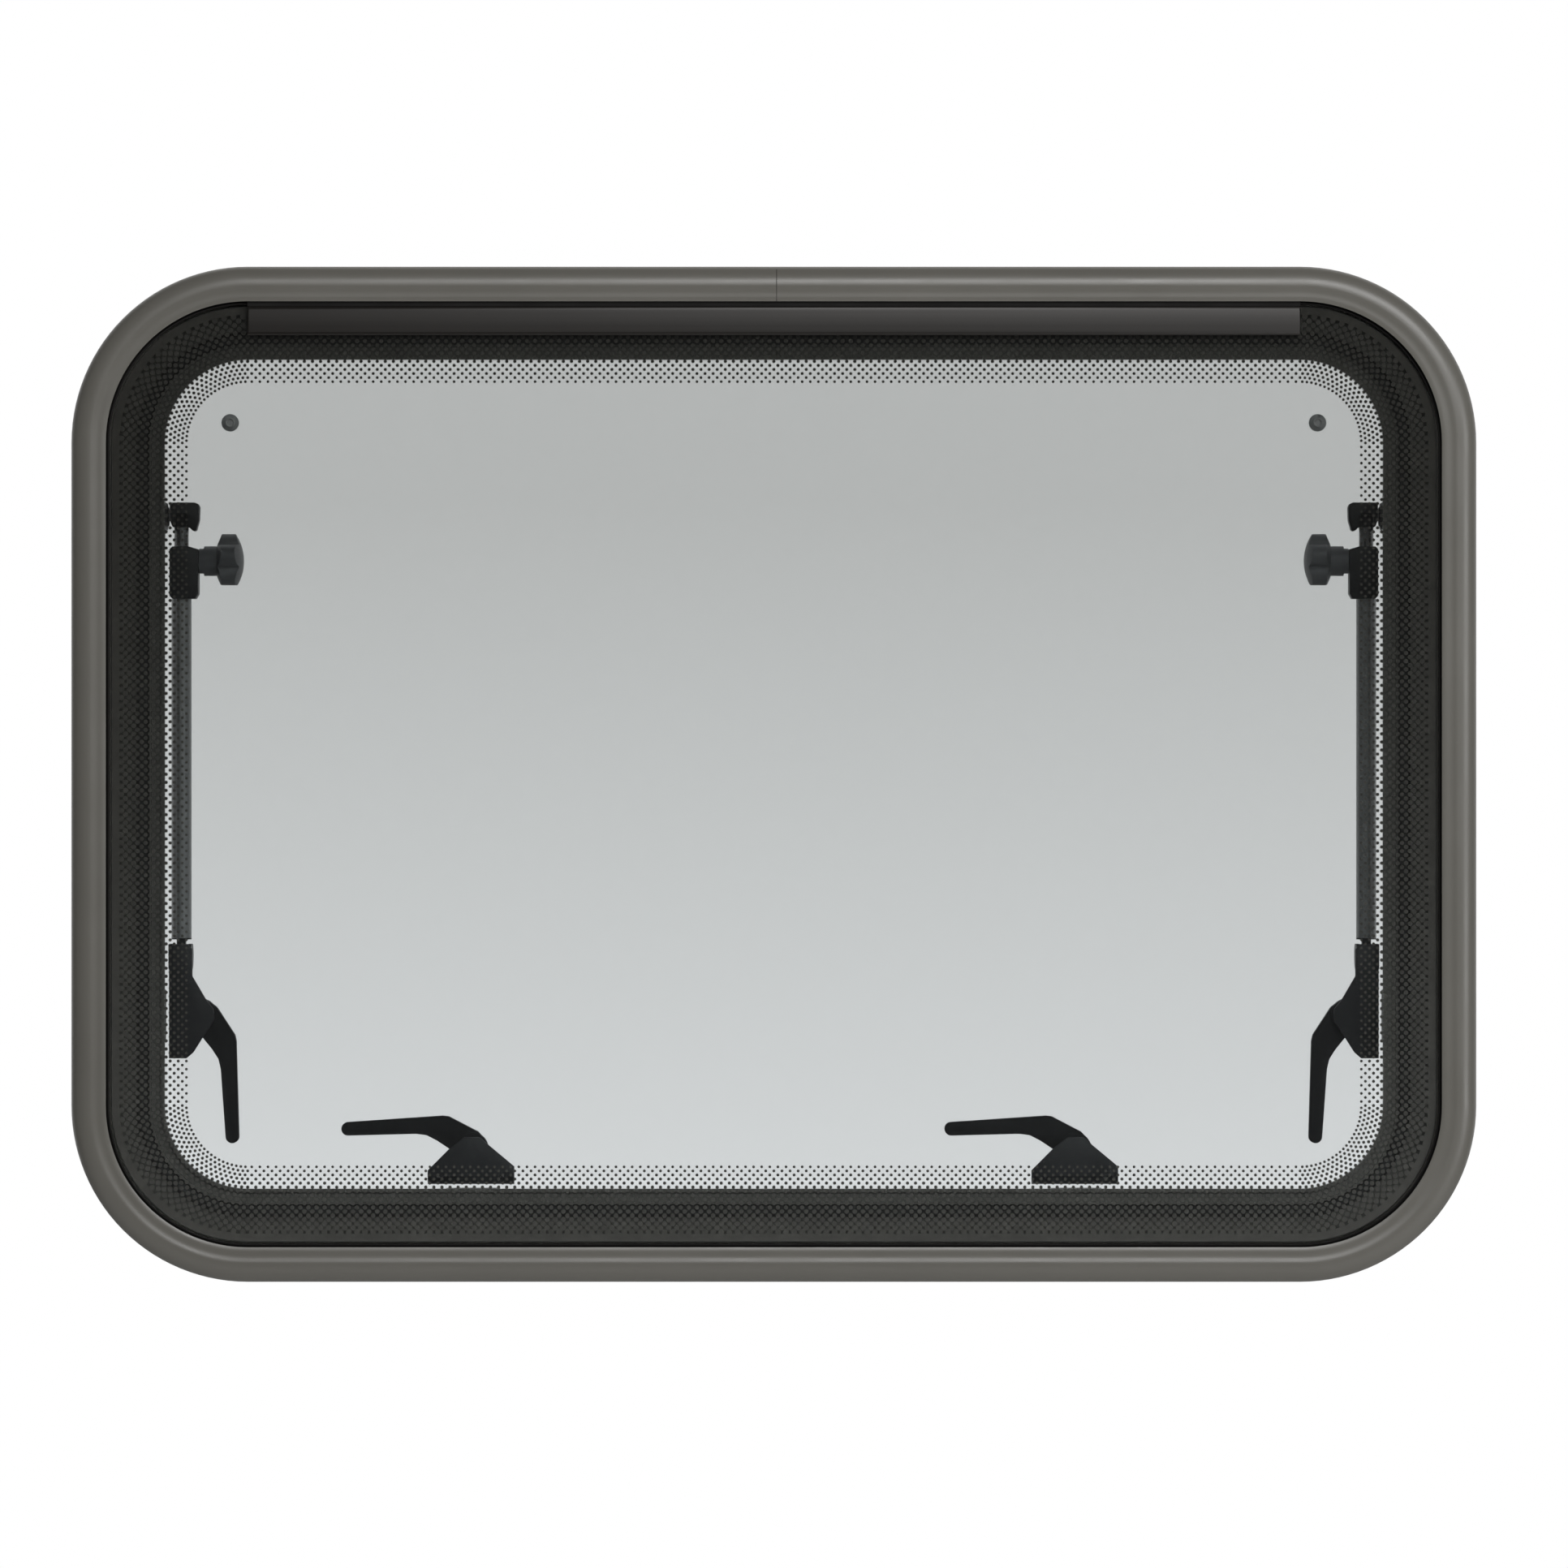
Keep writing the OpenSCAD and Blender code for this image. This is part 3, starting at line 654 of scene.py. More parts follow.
def grained(name, colour, tone, grain, depth, rough, specular, metallic=0):
    """Painted, moulded or rubber surface: the tone's scale and amount, the grain's scale and depth."""
    material, tree, shader, vector = new_material(name)
    shade = add_group(tree, "tone", vector, Colour=(*colour, 1), Scale=tone[0], Amount=tone[1])
    tree.links.new(shade, shader.inputs["Base Color"])
    add_sheen(tree, shader, vector, 28, rough)
    add_bump(tree, shader, add_group(tree, "grain", vector, Scale=grain), 0.5, depth)
    shader.inputs["Specular IOR Level"].default_value = specular
    shader.inputs["Metallic"].default_value = metallic
    put_out(tree, shader.outputs[0])
    return material


def drawn_metal(name, colour, stretch, rough, metallic):
    """Drawn and anodised metal, with fine lines along the stretch."""
    material, tree, shader, vector = new_material(name)
    mapping = tree.nodes.new("ShaderNodeMapping")
    mapping.inputs["Scale"].default_value = stretch
    tree.links.new(vector, mapping.inputs["Vector"])
    lines = noise_node(tree, mapping.outputs[0], 60, 4)
    shade = add_group(tree, "tone", mapping.outputs[0], Colour=(*colour, 1), Scale=30, Amount=0.22)
    tree.links.new(shade, shader.inputs["Base Color"])
    add_sheen(tree, shader, mapping.outputs[0], 40, rough)
    add_bump(tree, shader, lines.outputs["Fac"], 0.25, 0.02 * MM)
    shader.inputs["Metallic"].default_value = metallic
    put_out(tree, shader.outputs[0])
    return material


def frame_paint(name, given):
    return grained(name, given.frame_colour, tone=(9, 0.1), grain=1500, depth=0.04 * MM,
                   rough=(0.28, 0.36), specular=0.5)


def black_plastic(name, given):
    return grained(name, given.plastic_colour, tone=(60, 0.22), grain=1100, depth=0.02 * MM,
                   rough=(0.4, 0.52), specular=0.35)


def grip_plastic(name, given):
    return grained(name, linear(9, 10, 11), tone=(50, 0.2), grain=1100, depth=0.02 * MM,
                   rough=(0.46, 0.58), specular=0.18)


def knob_plastic(name, given):
    return grained(name, linear(96, 97, 100), tone=(80, 0.2), grain=900, depth=0.03 * MM,
                   rough=(0.4, 0.52), specular=0.4)


def clamp_plastic(name, given):
    return grained(name, given.plastic_colour, tone=(14, 0.18), grain=700, depth=0.12 * MM,
                   rough=(0.45, 0.6), specular=0.35)


def vent_plastic(name, given):
    return grained(name, linear(162, 164, 165), tone=(300, 0.3), grain=2600, depth=0.03 * MM,
                   rough=(0.4, 0.55), specular=0.4)


def seal_rubber(name, given):
    return grained(name, given.rubber_colour, tone=(35, 0.25), grain=2200, depth=0.04 * MM,
                   rough=(0.65, 0.82), specular=0.3)


# Painted shade: a near-black finish on the inside of the hinge channel and on the rail's web and bead,
# where shade falls
def channel_painted_shade(name, given):
    return grained(name, linear(24, 23, 22), tone=(60, 0.3), grain=1800, depth=0.03 * MM,
                   rough=(0.6, 0.8), specular=0.15)


def joint_line(name, given):
    return grained(name, linear(62, 60, 56), tone=(200, 0.2), grain=2000, depth=0.02 * MM,
                   rough=(0.5, 0.7), specular=0.3)


def border_print(name, given):
    return grained(name, linear(72, 70, 65), tone=(90, 0.3), grain=2500, depth=0.01 * MM,
                   rough=(0.45, 0.6), specular=0.25)


def screw_steel(name, given):
    return grained(name, linear(186, 186, 182), tone=(220, 0.15), grain=3000, depth=0.01 * MM,
                   rough=(0.25, 0.4), specular=0.5, metallic=1)


def floor_paint(name, given):
    return grained(name, (0.78, 0.78, 0.78), tone=(2, 0.03), grain=60, depth=0.1 * MM,
                   rough=(0.6, 0.7), specular=0.2)


def rail_metal(name, given):
    return drawn_metal(name, given.rail_colour, stretch=(0.05, 9, 9),
                       rough=(0.32, 0.44), metallic=0.25)


def tube_metal(name, given):
    return drawn_metal(name, given.tube_colour, stretch=(9, 9, 0.05),
                       rough=(0.32, 0.46), metallic=0.55)


def rod_metal(name, given):
    return drawn_metal(name, linear(128, 128, 129), stretch=(10, 10, 0.04),
                       rough=(0.22, 0.36), metallic=0.8)


def tinted_acrylic(name, given):
    """The outer sheet: refracts, is darker towards the top by painted shade and lets the lamps through."""
    material, tree, shader, vector = new_material(name)
    parts = tree.nodes.new("ShaderNodeSeparateXYZ")
    tree.links.new(vector, parts.inputs[0])
    # Painted shade: the tint blends from the lower colour to the darker top colour with height
    tint_and_shade = tree.nodes.new("ShaderNodeMix")
    tint_and_shade.data_type = "RGBA"
    height = range_node(tree, parts.outputs["Z"], PANE_LOW[2], PANE_HIGH[2] * SHADE_TOP, 0, 1)
    tree.links.new(height, tint_and_shade.inputs[0])
    tint_and_shade.inputs[6].default_value = (*given.pane_colour, 1)
    tint_and_shade.inputs[7].default_value = (*given.pane_top_shade_colour, 1)
    tree.links.new(tint_and_shade.outputs[2], shader.inputs["Base Color"])
    shader.inputs["Transmission Weight"].default_value = 1
    shader.inputs["IOR"].default_value = 1.49
    add_sheen(tree, shader, vector, 9, (0, 0.008))
    path = tree.nodes.new("ShaderNodeLightPath")
    through = let_through(tree, tint_and_shade.outputs[2])
    put_out(tree, mix_shaders(tree, path.outputs["Is Shadow Ray"], shader.outputs[0], through))
    return material


def clear_acrylic(name, given):
    """The thin formed inner sheet: what is behind it shows straight, and it mirrors at a slant."""
    material, tree, shader, vector = new_material(name)
    shader.inputs["Base Color"].default_value = (1, 1, 1, 1)
    shader.inputs["Metallic"].default_value = 1
    add_sheen(tree, shader, vector, 12, (0.02, 0.08))
    slant = tree.nodes.new("ShaderNodeLayerWeight")
    steep = math_node(tree, "POWER", slant.outputs["Facing"], 5)
    share = range_node(tree, steep, 0, 1, 0.04, 0.12)
    through = let_through(tree, (*linear(250, 251, 251), 1))
    put_out(tree, mix_shaders(tree, share, through, shader.outputs[0]))
    return material


FINISHES = {}


def finish(maker):
    """Builds each finish once, from the user's colours, and names it as its function."""
    name = maker.__name__
    if name not in FINISHES:
        FINISHES[name] = maker(name, bpy.context.scene.caravan_window.finish)
    return FINISHES[name]


# The finishes of the nodes that need no other shape
CARRIED = {
    "wall_seal": seal_rubber,
    "sash_seal": seal_rubber,
    "clamp_frame": clamp_plastic,
    "outer_pane": tinted_acrylic,
    "inner_pane": clear_acrylic,
    "stay_tube_left": tube_metal,
    "stay_tube_right": tube_metal,
    "stay_rod_left": rod_metal,
    "stay_rod_right": rod_metal,
    "keeper_bottom_left": black_plastic,
    "keeper_bottom_right": black_plastic,
    "keeper_side_left": black_plastic,
    "keeper_side_right": black_plastic,
}


class WINDOW_OT_finishes(Operator):
    """Gives the frame's own parts their finishes"""

    bl_idname = "caravan_window.finishes"
    bl_label = "Finishes"

    def execute(self, context):
        for node, maker in CARRIED.items():
            for slot in frame["nodes"][node].material_slots:
                slot.material = finish(maker)
        return {"FINISHED"}


# Printed border


def dot_radius(given, row):
    """Large dots outside, small ones inside, through the middle size."""
    share = row / (given.rows - 1)
    if share < 0.5:
        return given.outer_dot + (given.middle_dot - given.outer_dot) * share * 2
    return given.middle_dot + (given.inner_dot - given.middle_dot) * (share - 0.5) * 2


def add_dot(x, z, radius):
    """A flat dot behind the outer pane, which faces outside."""
    bpy.ops.mesh.primitive_circle_add(
        vertices=DOT_SIDES, radius=radius, fill_type="NGON",
        location=(x, PANE_HIGH[1] + PRINT_GAP, z), rotation=(pi / 2, 0, 0))


def add_dots(places):
    """In edit mode, adds dots at (x, z, radius) to the mesh."""
    for x, z, radius in places:
        add_dot(x, z, radius)


def dot_run(x, z, radius, step, count):
    """A straight run of dots; the step is in the window's X or Z."""
    clear_selection()
    add_dot(x, z, radius)
    run = active()
    array = run.modifiers.new("run", "ARRAY")
    array.count = count
    array.use_relative_offset = False
    array.use_constant_offset = True
    array.constant_offset_displace = (step[0], step[1], 0)
    apply_modifiers(run)
    return place_in_mesh()


def round_band(half_w, half_h, radius, width):
    """A flat band with round corners that faces outside."""
    clear_selection()
    bpy.ops.mesh.primitive_circle_add(
        vertices=BAND_SIDES, radius=radius, fill_type="NGON",
        location=(0, PANE_HIGH[1] + PRINT_GAP, 0), rotation=(pi / 2, pi / BAND_SIDES, 0))
    band = place_in_mesh()
    edit_mode()
    for axis, shift in ((0, half_w - radius), (2, half_h - radius)):
        for way in (-1, 1):
            select_verts(band, lambda place: place[axis] * way > 0)
            move = [0, 0, 0]
            move[axis] = way * shift
            bpy.ops.transform.translate(value=move)
    select_faces(band, lambda face: True)
    bpy.ops.mesh.inset(thickness=width, depth=0)
    bpy.ops.mesh.delete(type="FACE")
    object_mode()
    return band


def border_rows(given, half_w, half_h):
    """A quarter of the rows: straight runs, the dots round the corner, and the dots on the two axes."""
    pitch = 2 * given.row_step
    count_x = round(RUN_X / pitch)
    count_z = round(RUN_Z / pitch)
    step_x = RUN_X / count_x
    step_z = RUN_Z / count_z
    runs = []
    corner = []
    middle = []
    for row in range(given.rows):
        inset = given.first_row + row * given.row_step
        size = dot_radius(given, row)
        odd = row % 2
        start = 1 if odd else 0.5
        top = half_h - inset
        side = half_w - inset
        runs.append(dot_run(start * step_x, top, size, (step_x, 0), count_x))
        runs.append(dot_run(side, start * step_z, size, (0, step_z), count_z))
        if odd:
            middle += [(0, top, size), (0, -top, size), (side, 0, size), (-side, 0, size)]
        bend = PANE_CORNER - inset
        for i in range(given.corner_dots - odd):
            turn = (start + i) / given.corner_dots * pi / 2
            corner.append((RUN_X + bend * cos(turn), RUN_Z + bend * sin(turn), size))
    return runs, corner, middle


class WINDOW_OT_border(Operator):
    """Prints the solid band and the rows of dots between the panes"""

    bl_idname = "caravan_window.border"
    bl_label = "Printed border"

    def execute(self, context):
        given = context.scene.caravan_window.border
        half_w = (PANE_HIGH[0] - PANE_LOW[0]) / 2
        half_h = (PANE_HIGH[2] - PANE_LOW[2]) / 2
        runs, corner, middle = border_rows(given, half_w, half_h)
        clear_selection()
        add_dot(*corner[0])
        first = place_in_mesh()
        edit_mode()
        add_dots(corner[1:])
        object_mode()
        dots = join([first] + runs, "border_dots")
        mirror_quarter(dots).use_mirror_merge = False
        apply_modifiers(dots)
        edit_mode()
        add_dots(middle)
        object_mode()
        band = round_band(half_w - PRINT_MARGIN, half_h - PRINT_MARGIN, PANE_CORNER - PRINT_MARGIN,
                          given.ring_width)
        border = join([dots, band], "border_print")
        paint(border, finish(border_print))
        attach(border, node_body("outer_pane"))
        return {"FINISHED"}


# Screws


def cross_screw(diameter, height):
    """A domed head with a cross recess, facing the vehicle's inside, at the origin."""
    clear_selection()
    bpy.ops.mesh.primitive_cylinder_add(
        vertices=32, radius=diameter / 2, depth=height, location=(0, height / 2, 0),
        rotation=(-pi / 2, 0, 0))
    head = place_in_mesh()
    edit_mode()
    select_faces(head, lambda face: depth_of(face) > height - NEAR)
    bpy.ops.mesh.bevel(offset=height * HEAD_ROUNDING, segments=4, affect="EDGES")
    object_mode()
    cutters = []
    for turn in (pi / 4, 3 * pi / 4):
        clear_selection()
        bpy.ops.mesh.primitive_cube_add(size=1, location=(0, height, 0), rotation=(0, turn, 0))
        active().scale = (diameter * RECESS_LENGTH, height * RECESS_DEPTH, diameter * RECESS_WIDTH)
        cutters.append(place_in_mesh())
    for bar in cutters:
        cut = head.modifiers.new("recess", "BOOLEAN")
        cut.operation = "DIFFERENCE"
        cut.solver = "EXACT"
        cut.object = bar
        apply_modifiers(head)
    pick(*cutters)
    bpy.ops.object.delete()
    return head


def clamp_screw(length):
    """A clamp screw at the origin, whose shank has this length."""
    clear_selection()
    bpy.ops.mesh.primitive_cylinder_add(
        vertices=20, radius=SHANK_RADIUS, depth=length, location=(0, -length / 2, 0),
        rotation=(pi / 2, 0, 0))
    edit_mode()
    bpy.ops.mesh.select_all(action="SELECT")
    bpy.ops.mesh.bevel(offset=SHANK_EDGE, segments=1, affect="EDGES")
    object_mode()
    shank = place_in_mesh()
    return join([cross_screw(CLAMP_HEAD, CLAMP_HEAD_HEIGHT), shank], "clamp_screw_model")


def place_copies(model, places, name):
    """Copies of a model, each with its own mesh, joined as one piece."""
    copies = []
    for place in places:
        copy = copy_of(model)
        copy.location = place
        copies.append(copy)
    pick(model)
    bpy.ops.object.delete()
    return settle(join(copies, name), name)


def clamp_screw_places():
    """Four screws along the top and the bottom, and two along each side."""
    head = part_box("clamp_screws")[1]
    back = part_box("clamp_frame")[1][1]
    x = head[0] - CLAMP_HEAD / 2
    z = head[2] - CLAMP_HEAD / 2
    places = []
    for way in (-1, 1):
        places += [(share * RUN_X, back, way * z) for share in (-1, -1 / 3, 1 / 3, 1)]
        places += [(way * x, back, share * RUN_Z / 2) for share in (-1, 1)]
    return places


def base_screw_places():
    """Two screws in each catch base and each side mount."""
    face = INNER_PANE_BACK + BASE_FACE
    places = []
    for side in SIDES:
        low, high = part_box("catch_base_bottom_" + side)
        places += [(low[0] + (high[0] - low[0]) * share, face, low[2] + BASE_SCREW_RISE)
                   for share in BASE_SCREWS]
        low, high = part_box("side_mount_" + side)
        x = high[0] - MOUNT_SCREW_INSET if side == "right" else low[0] + MOUNT_SCREW_INSET
        places += [(x, face, low[2] + rise) for rise in MOUNT_SCREW_RISES]
    return places


class WINDOW_OT_screws(Operator):
    """Models the screws of the clamp frame, the catch bases and the side mounts"""

    bl_idname = "caravan_window.screws"
    bl_label = "Screws"

    def execute(self, context):
        given = context.scene.caravan_window.moulding
        low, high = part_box("clamp_screws")
        model = clamp_screw(high[1] - low[1] - SHANK_TRIM)
        screws = place_copies(model, clamp_screw_places(), "clamp_screws_detailed")
        paint(screws, finish(screw_steel))
        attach(screws, node_body("clamp_screws"))
        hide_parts("clamp_screws")

        model = cross_screw(given.screw_head, BASE_HEAD_HEIGHT)
        base = place_copies(model, base_screw_places(), "base_screws")
        paint(base, finish(screw_steel))
        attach(base, node_body("inner_pane"))
        return {"FINISHED"}


# Moulded fittings


class WINDOW_OT_catches(Operator):
    """Rounds the catch grips, their bases and the side mounts"""

    bl_idname = "caravan_window.catches"
    bl_label = "Catches"

    def execute(self, context):
        given = context.scene.caravan_window.moulding
        plastic = finish(black_plastic)
        for side in SIDES:
            for place in ("bottom_", "side_"):
                moulded_copy("catch_lever_" + place + side, "catch_grip_" + place + side, given.lever_edge,
                             finish(grip_plastic), segments=5)
            moulded_copy("catch_base_bottom_" + side, "catch_plate_" + side, given.body_edge, plastic)
            moulded_copy("side_mount_" + side, "side_plate_" + side, given.body_edge, plastic)
        return {"FINISHED"}


class WINDOW_OT_stay_fittings(Operator):
    """Rounds the stays' feet, clamp blocks, rod ends and brackets"""

    bl_idname = "caravan_window.stay_fittings"
    bl_label = "Stay fittings"

    def execute(self, context):
        given = context.scene.caravan_window.moulding
        for side in SIDES:
            for node, name in (("stay_foot_", "tube_foot_"), ("clamp_block_", "clamp_body_"),
                               ("rod_end_", "rod_hook_"), ("stay_bracket_", "frame_bracket_")):
                moulded_copy(node + side, name + side, given.body_edge, finish(black_plastic))
        return {"FINISHED"}


class WINDOW_OT_knobs(Operator):
    """Rounds the clamp knobs"""

    bl_idname = "caravan_window.knobs"
    bl_label = "Clamp knobs"

    def execute(self, context):
        given = context.scene.caravan_window.moulding
        for side in SIDES:
            moulded_copy("clamp_knob_" + side, "lobed_knob_" + side, given.knob_edge, finish(knob_plastic),
                         segments=4)
        return {"FINISHED"}


def breather_plug(low, high):
    """A plug in the inner pane: a ringed head inside the vehicle and a hollow stem through the pane."""
    radius = (high[0] - low[0]) / 2
    thick = high[1] - INNER_PANE_BACK
    centre = ((low[0] + high[0]) / 2, INNER_PANE_BACK + thick / 2, (low[2] + high[2]) / 2)
    clear_selection()
    bpy.ops.mesh.primitive_cylinder_add(
        vertices=48, radius=radius, depth=thick, location=centre, rotation=(-pi / 2, 0, 0))
    plug = place_in_mesh()
    edit_mode()
    select_faces(plug, lambda face: depth_of(face) > high[1] - NEAR)
    for width, depth in ((PLUG_RIM, 0), PLUG_GROOVE, (PLUG_FLOOR, 0), PLUG_BOSS):
        bpy.ops.mesh.inset(thickness=radius * width, depth=thick * depth)
    select_faces(plug, lambda face: depth_of(face) < INNER_PANE_BACK + NEAR)
    bpy.ops.mesh.inset(thickness=radius - STEM_RADIUS)
    extrude(y=low[1] + STEM_CLEARANCE - INNER_PANE_BACK)
    bpy.ops.mesh.inset(thickness=STEM_WALL)
    bpy.ops.mesh.inset(thickness=STEM_HOLLOW[0], depth=STEM_HOLLOW[1])
    object_mode()
    round_edges(plug, PLUG_EDGE, 2, 50)
    apply_modifiers(plug)
    return plug


class WINDOW_OT_plugs(Operator):
    """Models the breather plugs with a domed, ringed head"""

    bl_idname = "caravan_window.plugs"
    bl_label = "Breather plugs"

    def execute(self, context):
        for side in SIDES:
            node = "breather_plug_" + side
            plug = settle(breather_plug(*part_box(node)), "vent_plug_" + side)
            paint(plug, finish(vent_plastic))
            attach(plug, node_body(node))
            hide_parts(node)
        return {"FINISHED"}


class WINDOW_OT_rail(Operator):
    """Rounds the front edges of the hinge rail's plate"""

    bl_idname = "caravan_window.rail"
    bl_label = "Hinge rail"

    def execute(self, context):
        front = PANE_LOW[1] - PLATE_FRONT
        low_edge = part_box("hinge_rail")[0][2]
        plate_top = low_edge + PLATE_HEIGHT
        rail = clean_copy("hinge_rail")
        select_faces(rail, lambda face: face.normal.y < -0.99 and depth_of(face) < front
                     and low_edge < face.calc_center_median().z < plate_top)
        bpy.ops.mesh.region_to_loop()
        bpy.ops.mesh.bevel(offset=PLATE_EDGE, segments=4, affect="EDGES")
        object_mode()
        settle(rail, "rail_profile")
        # Painted shade: the rail's web and bead above the plate get the near-black finish where the lip's
        # shade falls
        paint(rail, finish(rail_metal), finish(channel_painted_shade))
        for face in rail.data.polygons:
            if face.center.z > plate_top:
                face.material_index = 1
        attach(rail, node_body("hinge_rail"))
        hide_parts("hinge_rail")
        return {"FINISHED"}


# Frame extrusion


def bead_line():
    """Distance of the hinge channel's centre from the frame's outer edge."""
    return FACE_W + CHANNEL_OUT * cos(radians(CHANNEL_FRONT))


def inward(place):
    """Distance of a point from the frame's outer edge."""
    side = max(abs(place.x) - RUN_X, 0)
    end = max(abs(place.z) - RUN_Z, 0)
    return FLANGE[0] - RUN_X - hypot(side, end)


def in_channel(place):
    """Whether a point of the frame lies in the hinge channel, or on the channel's back lip, where the frame
    gets painted shade.
    """
    across = inward(place)
    height = -place.y
    inside = hypot(across - bead_line(), height - BEAD_HEIGHT) < CHANNEL_IN + SHADE_MARGIN
    return inside or (across > FACE_W and height > 0)


def channel_arc(radius, start, end, steps):
    """Points round the hinge channel, from one angle to another."""
    points = []
    for i in range(steps + 1):
        turn = radians(start + (end - start) * i / steps)
        points.append((bead_line() - radius * cos(turn), BEAD_HEIGHT + radius * sin(turn)))
    return points


def round_tip(start, end, steps=5):
    """The points between two ends of a half circle, which bulges to the left of its chord."""
    middle = ((start[0] + end[0]) / 2, (start[1] + end[1]) / 2)
    half = (start[0] - middle[0], start[1] - middle[1])
    points = []
    for i in range(1, steps):
        turn = pi * i / steps
        points.append((middle[0] + half[0] * cos(turn) + half[1] * sin(turn),
                       middle[1] + half[1] * cos(turn) - half[0] * sin(turn)))
    return points


def wave(share):
    """From 0 to 1 and back in one smooth wave, as the share goes from 0 to 1."""
    return (1 - cos(2 * pi * share)) / 2


def face_points(given, top, steps=14):
    """The domed face: from the outer edge to its crest, the slope, and the lip that rolls down."""
    points = []
    for i in range(steps + 1):
        turn = pi / 2 * i / steps
        points.append((given.crest * (1 - cos(turn)), top * sin(turn)))
    width = given.lip - given.crest
    for i in range(1, steps + 1):
        share = i / steps
        fall = given.lip_drop * wave(share / 2) + given.hollow * wave(share)
        points.append((given.crest + width * share, top - fall))
    width = FACE_W - given.lip
    for i in range(1, steps // 2 + 1):
        share = i / (steps // 2)
        points.append((given.lip + width * share, top - given.lip_drop - given.roll * share ** 2))
    return points


def shell_points(given, top, steps=10):
    """The inner side of the domed face, from under its crest out to the edge."""
    width = given.crest - WALL
    points = []
    for i in range(steps, -1, -1):
        turn = pi / 2 * i / steps
        points.append((given.crest - width * cos(turn), (top - WALL) * sin(turn)))
    return points


def frame_section(given):
    """The outline of the extrusion as (inwards, outwards) points."""
    top = BEAD_HEIGHT + CHANNEL_OUT
    points = face_points(given, top)
    inside = channel_arc(CHANNEL_IN, CHANNEL_FRONT, CHANNEL_BACK, 20)
    outside = channel_arc(CHANNEL_OUT, CHANNEL_BACK, CHANNEL_END, 9)
    points += round_tip(points[-1], inside[0]) + inside
    points += round_tip(inside[-1], outside[0]) + outside
    inner = NECK + WALL
    points += [(inner, BEAD_HEIGHT - WALL / 2), (inner, LANDING_FRONT)]
    for middle in SEAL_RIBS:
        low = middle - SEAL_RIB_W / 2
        high = middle + SEAL_RIB_W / 2
        points += [(low, LANDING_FRONT), (low, SEAL_RIB_FRONT)]
        points += [(high, SEAL_RIB_FRONT), (high, LANDING_FRONT)]
    rib = LANDING_EDGE - WALL
    points += [(rib, LANDING_FRONT), (rib, RIB_FRONT)]
    points += [(LANDING_EDGE, RIB_FRONT), (LANDING_EDGE, LANDING_BACK)]
    points += [(inner, LANDING_BACK), (inner, NECK_FOOT), (NECK, NECK_FOOT), (NECK, top - NECK_DEPTH)]
    return points + shell_points(given, top)


def section_loop(points, x):
    """A closed line of the section, drawn point by point at the top of the frame."""
    clear_selection()
    bpy.ops.mesh.primitive_plane_add(size=MM, location=(x, -points[0][1], FLANGE[2] - points[0][0]))
    loop = place_in_mesh()
    edit_mode()
    bpy.ops.mesh.select_mode(type="VERT")
    bpy.ops.mesh.merge(type="CENTER")
    for last, point in zip(points, points[1:]):
        extrude(y=last[1] - point[1], z=last[0] - point[0])
    ends = [(-point[1], FLANGE[2] - point[0]) for point in (points[0], points[-1])]
    select_verts(loop, lambda place: any(
        abs(place.y - end[0]) < NEAR and abs(place.z - end[1]) < NEAR for end in ends))
    bpy.ops.mesh.edge_face_add()
    bpy.ops.mesh.select_all(action="SELECT")
    return loop


class WINDOW_OT_frame(Operator):
    """Sweeps the domed extrusion round the window, as it is bent from one length"""

    bl_idname = "caravan_window.frame"
    bl_label = "Frame extrusion"

    def execute(self, context):
        given = context.scene.caravan_window.section
        ring = section_loop(frame_section(given), 0)
        extrude(x=RUN_X)
        bpy.ops.mesh.spin(steps=given.corner_steps, angle=-pi / 2, center=(RUN_X, 0, RUN_Z), axis=(0, 1, 0))
        extrude(z=-RUN_Z)
        object_mode()
        mirror_quarter(ring).merge_threshold = MERGE
        apply_modifiers(ring)
        edit_mode()
        bpy.ops.mesh.select_all(action="SELECT")
        bpy.ops.mesh.remove_doubles(threshold=MERGE)
        bpy.ops.mesh.normals_make_consistent(inside=False)
        object_mode()
        settle(ring, "frame_extrusion", 30)
        # Painted shade: the faces in and round the hinge channel get the near-black finish
        paint(ring, finish(frame_paint), finish(channel_painted_shade))
        for face in ring.data.polygons:
            if in_channel(face.center):
                face.material_index = 1
        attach(ring, node_body("outer_frame"))
        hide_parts("outer_frame")
        return {"FINISHED"}


class WINDOW_OT_joint(Operator):
    """Adds the sealed butt joint at the top of the bent frame"""

    bl_idname = "caravan_window.joint"
    bl_label = "Frame joint"

    def execute(self, context):
        given = context.scene.caravan_window.section
        ends = (JOINT_X - given.seam / 2, JOINT_X + given.seam / 2)
        seam = section_loop(frame_section(given), ends[0])
        extrude(x=given.seam)
        for x in ends:
            select_verts(seam, lambda place: abs(place.x - x) < given.seam / 4)
            bpy.ops.mesh.edge_face_add()
        bpy.ops.mesh.select_all(action="SELECT")
        bpy.ops.mesh.normals_make_consistent(inside=False)
        bpy.ops.transform.shrink_fatten(value=JOINT_PROUD)
        bpy.ops.transform.translate(value=(0, 0, -JOINT_PROUD))
        object_mode()
        settle(seam, "frame_joint")
        paint(seam, finish(joint_line))
        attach(seam, node_body("outer_frame"))
        return {"FINISHED"}


# Stage


def aim(obj):
    """Turns a camera or lamp to the window's centre, and keeps it upright."""
    obj.rotation_euler = (-obj.location).to_track_quat("-Z", "Y").to_euler()


